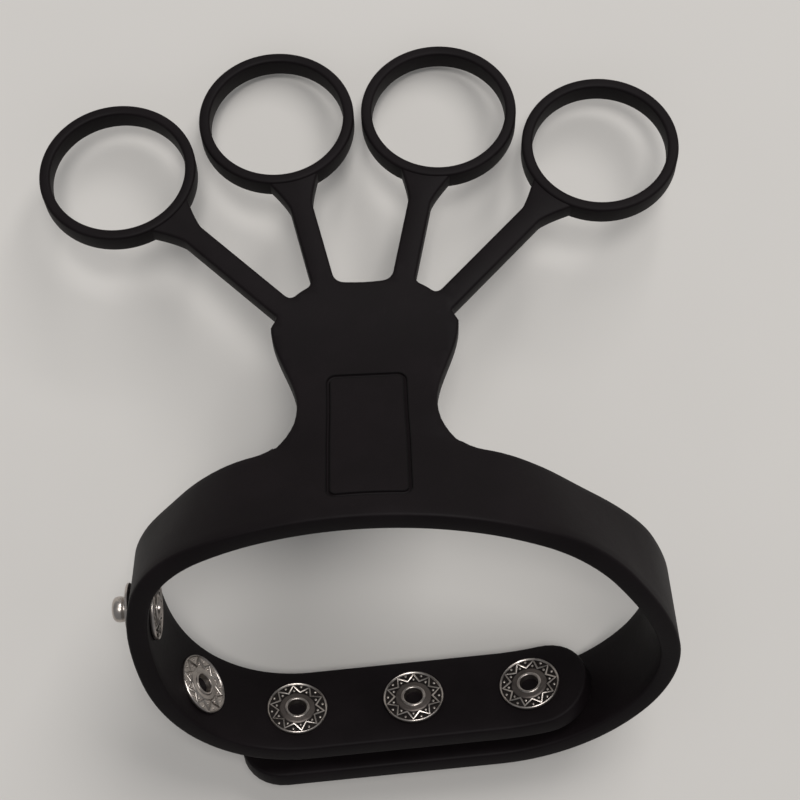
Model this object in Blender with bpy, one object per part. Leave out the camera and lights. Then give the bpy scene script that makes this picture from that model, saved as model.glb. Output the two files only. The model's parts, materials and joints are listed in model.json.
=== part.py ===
"""Finger exerciser: a silicone wrist band with a back-of-hand pad, four arms and four finger rings.

The band is bent into a loop and closed by press studs.  It is modelled as it lies on a table: on the
band's rear bottom edge and on the tips of the two middle rings.  Lengths are metres, +Z is up.

Loop frame: x across the wrist, y along the wrist towards the fingers, z out of the band's crown.
The band's rear edge is y = 0 and the underside of its outer layer is z = 0.
"""
import math

import bmesh
import bpy
from mathutils import Matrix, Vector

# Silicone sheet
STRAP_WIDTH = 0.0145
SHEET_THICK = 0.0030
EDGE_CHAMFER = 0.00045
SEAM = 0.00035

# Loop of the band, on the middle of the sheet, from the crown down to the flat under the wrist
CROWN_RADIUS = 0.0566
CROWN_TURN = 25.0
SHOULDER_RADIUS = 0.0211
SHOULDER_TURN = 40.0
SIDE_RADIUS = 0.0380
LOWER_RADIUS = 0.0265
END_SLACK = 0.0012
LOOP_SHIFT = 0.0063
DRAW_IN = 0.0026
DRAW_LENGTH = 0.0320
LOOP_TWIST = 3.3

# Press studs
STUD_COUNT = 5
MATED = (2, 3)
STUD_PITCH = 0.0183
STUD_START = 0.0485
END_MARGIN = 0.0092
FLANGE_RADIUS = 0.0050
FLANGE_THICK = 0.0005
ROLL_RADIUS = 0.00215
ROLL_HEIGHT = 0.0004
BARREL_RADIUS = 0.0014
BARREL_BORE = 0.0011
STUD_FLANGE_RADIUS = 0.0038
STUD_FLANGE_THICK = 0.0005
STUD_NECK_RADIUS = 0.00165
STUD_NECK_HEIGHT = 0.00035
STUD_BALL_RADIUS = 0.0019
STUD_HEIGHT = 0.0029
STUD_WALL = 0.00035
SOCKET_RADIUS = 0.0048
SOCKET_HEIGHT = 0.0023
SOCKET_LIP = 0.0005
SPRING_WIRE = 0.00025
CAP_HEIGHT = 0.0012
SNAP_GAP = 0.0003

# Pad on the back of the hand
FLARE_RADIUS = 0.0060
WAIST_HALF = 0.0099
WAIST_AT = 0.0065
PAD_HALF = 0.0136
PAD_WIDEST_AT = 0.0205
PAD_LENGTH = 0.0285
PAD_CORNER_DROP = 0.0080
PAD_CORNER_POWER = 3.4
FLATTEN_LENGTH = 0.0045
BEND_LENGTH = 0.0230
FINGER_TILT = 20.0

# Arms and finger rings, numbered from left to right: 1 and 4 outside, 2 and 3 inside
ARM_WIDTH = 0.0034
ARM_THICK = 0.0030
ARM_SETBACK = 0.0012
INNER_ROOT_X = 0.0057
OUTER_ROOT_X = 0.0112
INNER_RING_X = 0.0124
INNER_RING_Y = 0.0566
OUTER_RING_X = 0.0365
OUTER_RING_Y = 0.0492
LEFT_RING_SLACK = 0.0010
RING_BORE_RADIUS = 0.0102
RING_WALL = 0.00165
RING_HEIGHT = 0.0058
GUSSET_LENGTH = 0.0044
GUSSET_HALF_ANGLE = 23.0
RING_FOLD = 75.0
ARM_SWING = 45.0

# Flex line where the outer strap peels off, as a turn before the flat
PEEL_TURN = 27.5

RING_SEGMENTS = 44
SNAP_SEGMENTS = 16
ROUND_END_STEPS = 10
STRAP_STEP = 0.0045

HALF = SHEET_THICK / 2.0
ARM_HALF = ARM_THICK / 2.0
POST_REACH = SNAP_GAP / 2.0 + SOCKET_LIP / 2.0
LAYER_GAP = STUD_HEIGHT + POST_REACH + SNAP_GAP
LAYER_PITCH = SHEET_THICK + LAYER_GAP
INNER_LOWER_RADIUS = LOWER_RADIUS - LAYER_PITCH
SIDE_TURN = 90.0 - CROWN_TURN - SHOULDER_TURN
RING_OUTER = RING_BORE_RADIUS + RING_WALL
NECK_REACH = RING_OUTER + GUSSET_LENGTH
INNER_LENGTH = STUD_START + (STUD_COUNT - 1) * STUD_PITCH + END_MARGIN
STRAP_MID = -STRAP_WIDTH / 2.0


def clear_scene():
    """Remove whatever the file holds before the model is built."""
    for item in list(bpy.data.objects):
        bpy.data.objects.remove(item, do_unlink=True)


def make_material(name, color, roughness, metallic):
    """A plain Principled material.

    Args:
        name: Material name.
        color: Linear base colour.
        roughness: Surface roughness.
        metallic: 1 for metal, 0 otherwise.
    """
    material = bpy.data.materials.new(name)
    material.use_nodes = True
    shader = material.node_tree.nodes["Principled BSDF"]
    shader.inputs["Base Color"].default_value = (*color, 1.0)
    shader.inputs["Roughness"].default_value = roughness
    shader.inputs["Metallic"].default_value = metallic
    return material


def smoothstep(value):
    """Ease from 0 to 1 for a value that runs from 0 to 1."""
    value = min(max(value, 0.0), 1.0)
    return value * value * (3.0 - 2.0 * value)


def arc_path(segments, top):
    """Path made of tangent arcs and straights that starts level at the crown.

    Args:
        segments: Pairs of (radius, turn in degrees); a straight is (None, length).
        top: Height of the path's start.

    Returns:
        A function of the distance along the path, giving (across, height, heading).
    """
    pieces = []
    x, z, heading, at = 0.0, top, 0.0, 0.0
    for radius, amount in segments:
        length = amount if radius is None else radius * math.radians(amount)
        pieces.append((at, length, radius, x, z, heading))
        if radius is None:
            x += length * math.cos(heading)
            z -= length * math.sin(heading)
        else:
            turned = heading + math.radians(amount)
            x += radius * (math.sin(turned) - math.sin(heading))
            z -= radius * (math.cos(heading) - math.cos(turned))
            heading = turned
        at += length

    def point(distance):
        piece = pieces[0]
        for candidate in pieces:
            if distance >= candidate[0]:
                piece = candidate
        start, _, radius, px, pz, ph = piece
        run = distance - start
        if radius is None:
            return px + run * math.cos(ph), pz - run * math.sin(ph), ph
        turned = ph + run / radius
        px += radius * (math.sin(turned) - math.sin(ph))
        pz -= radius * (math.cos(ph) - math.cos(turned))
        return px, pz, turned

    return point


def arc_length(segments):
    """Length of a path given as for arc_path."""
    total = 0.0
    for radius, amount in segments:
        total += amount if radius is None else radius * math.radians(amount)
    return total


UPPER = [(CROWN_RADIUS, CROWN_TURN), (SHOULDER_RADIUS, SHOULDER_TURN), (SIDE_RADIUS, SIDE_TURN)]
_upper = arc_path(UPPER, 0.0)(arc_length(UPPER))
HALF_SPAN = _upper[0]
CROWN_HEIGHT = HALF + LOWER_RADIUS - _upper[1]
FLAT_LENGTH = 2.0 * HALF_SPAN - LOWER_RADIUS - INNER_LOWER_RADIUS
INNER_FLAT_AT = arc_length(UPPER) + INNER_LOWER_RADIUS * math.pi / 2.0
OUTER_FLAT_AT = arc_length(UPPER) + LOWER_RADIUS * math.pi / 2.0
OVERHANG = max(INNER_LENGTH - INNER_FLAT_AT - FLAT_LENGTH, END_MARGIN)
END_BEND = max(1.0 / LOWER_RADIUS - 2.0 * END_SLACK / OVERHANG**2, 0.1 / LOWER_RADIUS)
INNER_PATH = arc_path(
    UPPER + [(INNER_LOWER_RADIUS, 90.0), (None, FLAT_LENGTH), (1.0 / END_BEND, 60.0)], CROWN_HEIGHT
)
OUTER_PATH = arc_path(UPPER + [(LOWER_RADIUS, 90.0), (None, OUTER_FLAT_AT)], CROWN_HEIGHT)
PEEL_AT = OUTER_FLAT_AT - LOWER_RADIUS * math.radians(PEEL_TURN)


def stud_distance(index):
    """Distance of one press stud along the inner strap, from the crown."""
    return STUD_START + index * STUD_PITCH


def socket_distance(index):
    """Distance along the outer strap of the socket that faces one stud on the flat."""
    beyond = stud_distance(index) - INNER_FLAT_AT
    return OUTER_FLAT_AT + FLAT_LENGTH - beyond


OUTER_LENGTH = socket_distance(min(MATED)) + END_MARGIN


def pad_axis(along):
    """Middle line of the pad and the finger plane, in the y-z plane of the loop frame.

    Args:
        along: Distance from the band's rear edge, negative on the band.

    Returns:
        (y, z, slope in radians)
    """
    if along <= 0.0:
        return along, CROWN_HEIGHT, 0.0
    tilt = math.radians(FINGER_TILT)
    radius = BEND_LENGTH / tilt
    bent = min(along, BEND_LENGTH)
    slope = bent / radius
    rest = along - bent
    y = radius * math.sin(slope) + rest * math.cos(slope)
    z = CROWN_HEIGHT + radius * (1.0 - math.cos(slope)) + rest * math.sin(slope)
    return y, z, slope


def rest_lean():
    """Angle that brings the band's bottom edge and the ring tips to one level."""
    reach = INNER_RING_Y + RING_OUTER
    y, z, slope = pad_axis(reach)
    y += math.sin(slope) * RING_HEIGHT / 2.0
    z -= math.cos(slope) * RING_HEIGHT / 2.0
    return math.atan2(z, y)


LEAN = rest_lean()


def settle(point):
    """Let the lower half of the loop sag aside and turn a little on the table."""
    low = 1.0 - smoothstep((point.z - CROWN_HEIGHT / 4.0) / (CROWN_HEIGHT / 2.0))
    slide = math.tan(math.radians(LOOP_TWIST)) * point.x * low
    aside = 1.0 - smoothstep((point.z - 0.2 * CROWN_HEIGHT) / (0.75 * CROWN_HEIGHT))
    shifted = point.x + LOOP_SHIFT * aside
    return Vector((shifted, point.y + slide * math.cos(LEAN), point.z + slide * math.sin(LEAN)))


def draw_in(distance):
    """How far the pad-side edge of the band is drawn in at its shoulders."""
    share = (distance - WAIST_HALF - FLARE_RADIUS) / DRAW_LENGTH
    return DRAW_IN * math.sin(math.pi * min(max(share, 0.0), 1.0)) ** 2


def band_point(side, distance, along, off):
    """Point of the band.

    Args:
        side: 1 on the outer strap (right), -1 on the inner strap (left).
        distance: Distance from the crown along the strap.
        along: Position along the wrist, 0 at the rear edge.
        off: Distance out of the middle of the sheet.
    """
    path = OUTER_PATH if side > 0 else INNER_PATH
    x, z, heading = path(distance)
    off -= draw_in(distance) * (1.0 + along / STRAP_WIDTH)
    x += off * math.sin(heading)
    z += off * math.cos(heading)
    return settle(Vector((side * x, along, z)))


def pad_point(across, along, off):
    """Point of the pad: it follows the crown at the band and flattens towards the fingers."""
    y, z, slope = pad_axis(along)
    curve = max(1.0 - max(along, 0.0) / FLATTEN_LENGTH, 0.0) / CROWN_RADIUS
    if curve > 1e-6:
        angle = across * curve
        x = math.sin(angle) / curve + off * math.sin(angle)
        lift = (math.cos(angle) - 1.0) / curve + off * math.cos(angle)
    else:
        x = across
        lift = off
    return Vector((x, y - math.sin(slope) * lift, z + math.cos(slope) * lift))


def sheet_point(across, along, off):
    """Point of the silicone sheet, by its place in the flat pattern."""
    if along > 0.0:
        return pad_point(across, along, off)
    return band_point(1 if across >= 0.0 else -1, abs(across), along, off)


def mesh_object(name, bm, material, parent):
    """Wrap a bmesh as a smooth-shaded object."""
    bmesh.ops.recalc_face_normals(bm, faces=bm.faces)
    mesh = bpy.data.meshes.new(name)
    bm.to_mesh(mesh)
    bm.free()
    mesh.materials.append(material)
    mesh.shade_smooth()
    mesh.set_sharp_from_angle(angle=math.radians(35.0))
    item = bpy.data.objects.new(name, mesh)
    bpy.context.scene.collection.objects.link(item)
    item.parent = parent
    return item


def make_empty(name, parent, matrix):
    """An empty on a joint axis or at a fitting."""
    item = bpy.data.objects.new(name, None)
    bpy.context.scene.collection.objects.link(item)
    item.empty_display_size = 0.004
    item.parent = parent
    item.matrix_local = matrix
    return item


def hide_cutter(item):
    """Keep a cutting body out of the model."""
    item.hide_render = True
    item.display_type = "WIRE"


def cut(item, cutter):
    """Take one body out of another."""
    hide_cutter(cutter)
    modifier = item.modifiers.new("cut " + cutter.name, "BOOLEAN")
    modifier.operation = "DIFFERENCE"
    modifier.solver = "EXACT"
    modifier.object = cutter


def soften(item, width):
    """Break the sharp rims of a sheet."""
    modifier = item.modifiers.new("rim", "BEVEL")
    modifier.width = width
    modifier.segments = 1
    modifier.limit_method = "ANGLE"
    modifier.angle_limit = math.radians(50.0)


def sheet_mesh(cells, place, half):
    """Closed sheet from flat quads.

    Args:
        cells: Quads of (across, along) corners, counter-clockwise.
        place: Function from (across, along, off) to a point.
        half: Half thickness, or a function of along.

    Returns:
        A bmesh.
    """
    bm = bmesh.new()
    found = {}

    def vertex(corner, sign):
        key = (round(corner[0], 7), round(corner[1], 7), sign)
        if key not in found:
            off = half(corner[1]) if callable(half) else half
            found[key] = bm.verts.new(place(corner[0], corner[1], sign * off))
        return found[key]

    edges = {}
    for cell in cells:
        bm.faces.new([vertex(corner, 1) for corner in cell])
        bm.faces.new([vertex(corner, -1) for corner in reversed(cell)])
        for first, second in zip(cell, cell[1:] + cell[:1]):
            a = vertex(first, 1)
            b = vertex(second, 1)
            edges[(a, b)] = (first, second)
    for (a, b), (first, second) in list(edges.items()):
        if (b, a) not in edges:
            bm.faces.new([b, a, vertex(first, -1), vertex(second, -1)])
    return bm


def stations(start, stop, step):
    """Evenly spaced values from start to stop."""
    count = max(int(math.ceil(abs(stop - start) / step)), 1)
    return [start + (stop - start) * i / count for i in range(count + 1)]


def strap_cells(values):
    """Quads across the full strap width between successive stations."""
    cells = []
    for a, b in zip(values, values[1:]):
        cells.append([(a, -STRAP_WIDTH), (b, -STRAP_WIDTH), (b, 0.0), (a, 0.0)])
    return cells


def round_end_cells(edge, direction):
    """Cells of a strap's half-round end, with the strap's last full-width cell.

    Args:
        edge: The last two stations of the straight strap, the outer one second.
        direction: 1 or -1, the way the end points.
    """
    radius = STRAP_WIDTH / 2.0
    before, start = edge
    arc = []
    for i in range(ROUND_END_STEPS + 1):
        angle = math.pi * i / ROUND_END_STEPS
        arc.append((start + direction * radius * math.sin(angle), STRAP_MID - radius * math.cos(angle)))
    foot = [(start, along) for _, along in arc]
    arc[0] = foot[0]
    arc[-1] = foot[-1]
    cells = [[(before, -STRAP_WIDTH)] + foot + [(before, 0.0)]]
    for i in range(ROUND_END_STEPS):
        corners = []
        for corner in (foot[i], arc[i], arc[i + 1], foot[i + 1]):
            if corner not in corners:
                corners.append(corner)
        cells.append(corners)
    if direction < 0:
        cells = [list(reversed(cell)) for cell in cells]
    return cells


def flare_half(along):
    """Half width of the pad between the band and the waist."""
    if along >= FLARE_RADIUS:
        return WAIST_HALF
    drop = FLARE_RADIUS - along
    return WAIST_HALF + FLARE_RADIUS - math.sqrt(max(FLARE_RADIUS**2 - drop**2, 0.0))


def pad_half(along):
    """Half width of the pad beyond the waist."""
    share = (along - WAIST_AT) / (PAD_WIDEST_AT - WAIST_AT)
    return WAIST_HALF + (PAD_HALF - WAIST_HALF) * smoothstep(share)


def pad_end(across):
    """Where the pad ends towards the fingers."""
    return PAD_LENGTH - PAD_CORNER_DROP * (abs(across) / PAD_HALF) ** PAD_CORNER_POWER


def side_cutter(name, parent, matrix, wide, radius, reach, tall, skew=0.0):
    """Slot with a round bottom: clears the swing of a rounded end that points along +Y.

    Args:
        name: Object name.
        parent: Parent object.
        matrix: Place of the joint axis, x along the axis, y out of the slot.
        wide: Slot width along the axis.
        radius: Radius of the round bottom.
        reach: How far the slot runs out along +Y.
        tall: Half height of the slot.
        skew: Sideways run of the slot for each unit along +Y.
    """
    outline = []
    steps = 12
    for i in range(steps + 1):
        angle = math.pi / 2.0 + math.pi * i / steps
        outline.append((radius * math.cos(angle), radius * math.sin(angle)))
    outline += [(0.0, -tall), (reach, -tall), (reach, tall), (0.0, tall)]
    bm = bmesh.new()
    faces = []
    for x in (-wide / 2.0, wide / 2.0):
        faces.append([bm.verts.new((x + skew * y, y, z)) for y, z in outline])
    bm.faces.new(faces[0])
    bm.faces.new(list(reversed(faces[1])))
    for i in range(len(outline)):
        j = (i + 1) % len(outline)
        bm.faces.new([faces[0][i], faces[1][i], faces[1][j], faces[0][j]])
    item = mesh_object(name, bm, SILICONE, parent)
    item.matrix_local = matrix
    hide_cutter(item)
    return item


def band_frame(side, distance):
    """Frame on the middle of the strap: x along the strap, y along the wrist, z outwards."""
    tiny = 1e-4
    centre = band_point(side, distance, STRAP_MID, 0.0)
    out = band_point(side, distance, STRAP_MID, tiny) - centre
    along = (band_point(side, distance, STRAP_MID + tiny, 0.0) - centre).normalized()
    run = band_point(side, distance + tiny, STRAP_MID, 0.0) - centre
    normal = run.cross(along).normalized()
    if normal.dot(out) < 0.0:
        normal = -normal
    run = along.cross(normal)
    return Matrix.Translation(centre) @ Matrix((run, along, normal)).transposed().to_4x4()


def finger_frame(along):
    """Frame on the pad's middle line: x across, y towards the fingers, z out of the pad."""
    y, z, slope = pad_axis(along)
    return Matrix.Translation((0.0, y, z)) @ Matrix.Rotation(slope, 4, "X")


def build_band(root):
    """Wrist band with the inner strap and the stub that carries the pad."""
    flare = WAIST_HALF + FLARE_RADIUS
    crown = stations(-flare, flare, 2.0 * flare / 10.0)
    left = stations(-INNER_LENGTH + STRAP_WIDTH / 2.0, -flare, STRAP_STEP)
    right = stations(flare, PEEL_AT, STRAP_STEP)
    cells = strap_cells(left[1:]) + strap_cells(crown) + strap_cells(right)
    cells += round_end_cells((left[1], left[0]), -1)
    rows = [0.0]
    for i in range(1, 6):
        rows.append(FLARE_RADIUS * (1.0 - math.cos(math.pi / 2.0 * i / 6.0)))
    rows.append(WAIST_AT)
    for low, high in zip(rows, rows[1:]):
        for a, b in zip(crown, crown[1:]):
            first = flare_half(low) / flare
            second = flare_half(high) / flare
            cells.append([(a * first, low), (b * first, low), (b * second, high), (a * second, high)])
    band = mesh_object("wrist_band", sheet_mesh(cells, sheet_point, HALF), SILICONE, root)
    soften(band, EDGE_CHAMFER)
    clear = HALF + SEAM
    waist = finger_frame(WAIST_AT)
    cut(band, side_cutter("cut_waist", root, waist, 4.0 * WAIST_HALF, clear, 2.0 * clear, 2.0 * clear))
    peel = peel_frame()
    cut(band, side_cutter("cut_peel", root, peel, 2.0 * STRAP_WIDTH, clear, 2.0 * clear, 2.0 * clear))
    for index in range(STUD_COUNT):
        cut(band, hole_cutter("cut_stud_%d" % (index + 1), root, band_frame(-1, stud_distance(index))))
    return band


def peel_frame():
    """Frame of the peel axis: x along the axis, y out along the outer strap."""
    frame = band_frame(1, PEEL_AT)
    return frame @ Matrix.Rotation(math.radians(-90.0), 4, "Z")


def hole_cutter(name, parent, matrix):
    """Cutter for a fitting's hole, with the seat that its flange presses into a curved strap."""
    bore = BARREL_RADIUS + SEAM
    seat = -HALF - SNAP_GAP / 3.0
    reach = 3.0 * SHEET_THICK
    rim = FLANGE_RADIUS + SEAM
    profile = [(0.0, reach), (bore, reach), (bore, seat), (rim, seat), (rim, -reach), (0.0, -reach)]
    item = mesh_object(name, turned(profile, SNAP_SEGMENTS, False), SILICONE, parent)
    item.matrix_local = matrix
    hide_cutter(item)
    return item


def rounded_half(start):
    """Half thickness of a sheet whose start is rounded about an axis at its middle."""

    def half(along):
        before = start - along
        if before <= 0.0:
            return HALF
        return math.sqrt(max(HALF**2 - before**2, 0.0))

    return half


def rounded_rows(start):
    """Stations that round off a sheet's start."""
    return [start - HALF * math.cos(math.radians(a)) for a in (14.0, 32.0, 50.0, 68.0)]


def build_strap(root):
    """Outer strap, from its flex line to its round end."""
    peel = make_empty("peel_axis", root, peel_frame())
    back = peel_frame().inverted()
    straight = stations(PEEL_AT, OUTER_LENGTH - STRAP_WIDTH / 2.0, STRAP_STEP)
    cells = strap_cells(rounded_rows(PEEL_AT) + straight[:-1])
    cells += round_end_cells((straight[-2], straight[-1]), 1)

    def half(across):
        return rounded_half(PEEL_AT)(across)

    bm = bmesh.new()
    found = {}
    edges = {}

    def vertex(corner, sign):
        key = (round(corner[0], 7), round(corner[1], 7), sign)
        if key not in found:
            found[key] = bm.verts.new(back @ sheet_point(corner[0], corner[1], sign * half(corner[0])))
        return found[key]

    for cell in cells:
        bm.faces.new([vertex(corner, 1) for corner in cell])
        bm.faces.new([vertex(corner, -1) for corner in reversed(cell)])
        for first, second in zip(cell, cell[1:] + cell[:1]):
            edges[(vertex(first, 1), vertex(second, 1))] = (first, second)
    for (a, b), (first, second) in list(edges.items()):
        if (b, a) not in edges:
            bm.faces.new([b, a, vertex(first, -1), vertex(second, -1)])
    strap = mesh_object("outer_strap", bm, SILICONE, peel)
    soften(strap, EDGE_CHAMFER)
    for index in MATED:
        frame = back @ band_frame(1, socket_distance(index))
        cut(strap, hole_cutter("cut_socket_%d" % (index + 1), peel, frame))
    return strap, peel


def build_pad(root):
    """Pad on the back of the hand, hinged at the waist."""
    axis = make_empty("waist_axis", root, finger_frame(WAIST_AT))
    back = finger_frame(WAIST_AT).inverted()
    shares = [-1.0, -0.93, -0.8, -0.64, -0.48, -0.3, -0.1, 0.1, 0.3, 0.48, 0.64, 0.8, 0.93, 1.0]
    rows = rounded_rows(WAIST_AT) + stations(WAIST_AT, PAD_WIDEST_AT, 0.0024)
    grid = []
    for along in rows:
        wide = pad_half(max(along, WAIST_AT))
        grid.append([(share * wide, along) for share in shares])
    for part in (0.35, 0.7, 1.0):
        last = []
        for share in shares:
            across = share * PAD_HALF * (1.0 - 0.012 * part)
            end = PAD_WIDEST_AT + (pad_end(across) - PAD_WIDEST_AT) * part
            last.append((across, end))
        grid.append(last)
    cells = []
    for low, high in zip(grid, grid[1:]):
        for i in range(len(shares) - 1):
            cells.append([low[i], low[i + 1], high[i + 1], high[i]])

    def place(across, along, off):
        return back @ pad_point(across, along, off)

    pad = mesh_object("hand_pad", sheet_mesh(cells, place, rounded_half(WAIST_AT)), SILICONE, axis)
    soften(pad, EDGE_CHAMFER)
    return pad, axis


def build_arm(name, parent, matrix, reach, skew):
    """Straight arm with both ends rounded about flex lines that run across the hand.

    Args:
        name: Node name.
        parent: Parent empty.
        matrix: Place of the root's flex line, x along it, y towards the fingers.
        reach: Distance between the two flex lines, along y.
        skew: Sideways run of the arm for each unit along y.
    """
    axis = make_empty(name + "_axis", parent, matrix)
    outline = []
    steps = 8
    for end, turn in ((0.0, math.pi / 2.0), (reach, -math.pi / 2.0)):
        for i in range(steps + 1):
            angle = turn + math.pi * i / steps
            outline.append((end + ARM_HALF * math.cos(angle), ARM_HALF * math.sin(angle)))
    wide = ARM_WIDTH * math.hypot(1.0, skew)
    bm = bmesh.new()
    rims = []
    for x in (-wide / 2.0, wide / 2.0):
        rims.append([bm.verts.new((x + skew * y, y, z)) for y, z in outline])
    bm.faces.new(rims[0])
    bm.faces.new(list(reversed(rims[1])))
    for i in range(len(outline)):
        j = (i + 1) % len(outline)
        bm.faces.new([rims[0][i], rims[1][i], rims[1][j], rims[0][j]])
    arm = mesh_object(name, bm, SILICONE, axis)
    soften(arm, EDGE_CHAMFER)
    return axis


def ring_profile():
    """Turned section of a finger ring, down the outer side first."""
    top = RING_HEIGHT / 2.0
    soft = EDGE_CHAMFER
    outer = RING_OUTER
    inner = RING_BORE_RADIUS
    return [
        (outer - soft, top),
        (outer, top - soft),
        (outer, soft - top),
        (outer - soft, -top),
        (inner + soft, -top),
        (inner, soft - top),
        (inner, top - soft),
        (inner + soft, top),
    ]


def turned(profile, count, closed):
    """Turn a profile of (radius, height) about Z.

    Args:
        profile: Points down the outer side; radius 0 marks a pole.
        count: Segments round the axis.
        closed: True joins the last point to the first, for a ring.
    """
    bm = bmesh.new()
    loops = []
    for radius, height in profile:
        if radius == 0.0:
            loops.append([bm.verts.new((0.0, 0.0, height))] * count)
            continue
        loop = []
        for i in range(count):
            angle = 2.0 * math.pi * i / count
            loop.append(bm.verts.new((radius * math.cos(angle), radius * math.sin(angle), height)))
        loops.append(loop)
    pairs = list(zip(loops, loops[1:]))
    if closed:
        pairs.append((loops[-1], loops[0]))
    for upper, lower in pairs:
        for i in range(count):
            j = (i + 1) % count
            corners = []
            for corner in (upper[i], lower[i], lower[j], upper[j]):
                if corner not in corners:
                    corners.append(corner)
            if len(corners) > 2:
                bm.faces.new(corners)
    return bm


def build_ring(name, parent, place, heading):
    """Finger ring with its flared gusset, hinged at the arm's end.

    Args:
        name: Node name.
        parent: The arm's axis.
        place: The neck's place on the arm.
        heading: Turn of the arm in the finger plane.
    """
    axis = make_empty(name + "_axis", parent, Matrix.Translation(place))
    turn = Matrix.Rotation(heading, 4, "Z")
    ring_bm = turned(ring_profile(), RING_SEGMENTS, True)
    ring_bm.transform(turn @ Matrix.Translation((0.0, NECK_REACH, 0.0)))
    ring = mesh_object(name, ring_bm, SILICONE, axis)
    spread = math.radians(GUSSET_HALF_ANGLE)
    root = RING_OUTER - RING_WALL / 2.0
    side = []
    steps = 5
    for i in range(steps + 1):
        share = i / steps
        wide = ARM_WIDTH / 2.0 + (root * math.sin(spread) - ARM_WIDTH / 2.0) * share**1.3
        side.append((wide, share * (NECK_REACH - root * math.cos(spread))))
    arc = []
    for i in range(1, 6):
        angle = spread * (1.0 - 2.0 * i / 6.0)
        arc.append((root * math.sin(angle), NECK_REACH - root * math.cos(angle)))
    outline = side + arc + [(-x, y) for x, y in reversed(side)]
    bm = bmesh.new()
    rims = []
    for z in (ARM_HALF, -ARM_HALF):
        rims.append([bm.verts.new((x, y, z)) for x, y in outline])
    bm.faces.new(rims[0])
    bm.faces.new(list(reversed(rims[1])))
    for i in range(len(outline)):
        j = (i + 1) % len(outline)
        bm.faces.new([rims[0][j], rims[0][i], rims[1][i], rims[1][j]])
    bm.transform(turn)
    gusset = mesh_object(name + "_gusset", bm, SILICONE, axis)
    hide_cutter(gusset)
    union = ring.modifiers.new("gusset", "BOOLEAN")
    union.operation = "UNION"
    union.solver = "EXACT"
    union.object = gusset
    clear = ARM_HALF / math.cos(math.radians(RING_FOLD / 2.0)) + SEAM / 2.0
    back = Matrix.Rotation(math.pi, 4, "Z")
    cut(ring, side_cutter(name + "_neck", axis, back, 4.0 * ARM_WIDTH, clear, 2.0 * clear, 2.0 * clear))
    return ring


def build_fingers(pad, pad_axis_empty):
    """Four arms and rings in the finger plane."""
    plane = finger_frame(WAIST_AT).inverted() @ finger_frame(PAD_LENGTH)
    fingers = (
        ("1", -OUTER_ROOT_X, -OUTER_RING_X, OUTER_RING_Y - LEFT_RING_SLACK),
        ("2", -INNER_ROOT_X, -INNER_RING_X, INNER_RING_Y),
        ("3", INNER_ROOT_X, INNER_RING_X, INNER_RING_Y),
        ("4", OUTER_ROOT_X, OUTER_RING_X, OUTER_RING_Y),
    )
    for name, root_x, ring_x, ring_y in fingers:
        start = Vector((root_x, pad_end(root_x) - ARM_SETBACK - PAD_LENGTH, 0.0))
        goal = Vector((ring_x, ring_y - PAD_LENGTH, 0.0))
        way = goal - start
        heading = math.atan2(-way.x, way.y)
        place = plane @ Matrix.Translation(start)
        skew = way.x / way.y
        neck = way * (1.0 - NECK_REACH / way.length)
        axis = build_arm("arm_" + name, pad_axis_empty, place, neck.y, skew)
        clear = ARM_HALF + SEAM
        side = SEAM + ARM_HALF * math.sin(math.radians(ARM_SWING)) * abs(skew)
        slot = side_cutter(
            "cut_" + name,
            pad_axis_empty,
            place,
            ARM_WIDTH * math.hypot(1.0, skew) + 2.0 * side,
            clear,
            2.0 * ARM_SETBACK + clear + PAD_CORNER_DROP / 2.0,
            2.0 * SHEET_THICK,
            skew,
        )
        cut(pad, slot)
        build_ring("finger_ring_" + name, axis, neck, heading)


def eyelet_profile():
    """Flange, rolled rim and hollow barrel of the piece on the strap's inner face."""
    face = -HALF - SNAP_GAP
    back = face - FLANGE_THICK
    crest = back - ROLL_HEIGHT
    tip = HALF + SNAP_GAP + STUD_FLANGE_THICK + STUD_WALL
    mid = (ROLL_RADIUS + BARREL_BORE) / 2.0
    return [
        (BARREL_RADIUS, tip),
        (BARREL_RADIUS, face),
        (FLANGE_RADIUS - FLANGE_THICK / 2.0, face),
        (FLANGE_RADIUS, face - FLANGE_THICK / 2.0),
        (FLANGE_RADIUS - FLANGE_THICK / 2.0, back),
        (ROLL_RADIUS, back),
        (ROLL_RADIUS - ROLL_HEIGHT / 2.0, crest),
        (mid - ROLL_HEIGHT / 2.0, crest),
        (BARREL_BORE, back),
        (BARREL_BORE, tip),
    ]


def stud_profile():
    """Drawn stud: base flange, neck and ball, open underneath for the barrel."""
    base = HALF + SNAP_GAP / 2.0
    flange = base + STUD_FLANGE_THICK
    top = HALF + STUD_HEIGHT
    bore = BARREL_RADIUS + SNAP_GAP / 2.0
    neck = max(STUD_NECK_RADIUS, bore + 0.1 * STUD_WALL)
    under = math.acos(min(neck / STUD_BALL_RADIUS, 1.0))
    tall = (top - flange - STUD_NECK_HEIGHT) / (1.0 + math.sin(under))
    profile = [(0.0, top)]
    for radians in (math.radians(68.0), math.radians(46.0), math.radians(24.0), 0.0, -under):
        profile.append((STUD_BALL_RADIUS * math.cos(radians), top - tall + tall * math.sin(radians)))
    profile += [
        (neck, flange + STUD_WALL / 4.0),
        (STUD_FLANGE_RADIUS - STUD_WALL, flange),
        (STUD_FLANGE_RADIUS, flange - STUD_WALL / 2.0),
        (STUD_FLANGE_RADIUS, base),
        (bore, base),
        (bore, flange + STUD_WALL + SNAP_GAP),
        (0.0, flange + STUD_WALL + 2.0 * SNAP_GAP),
    ]
    return profile


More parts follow.
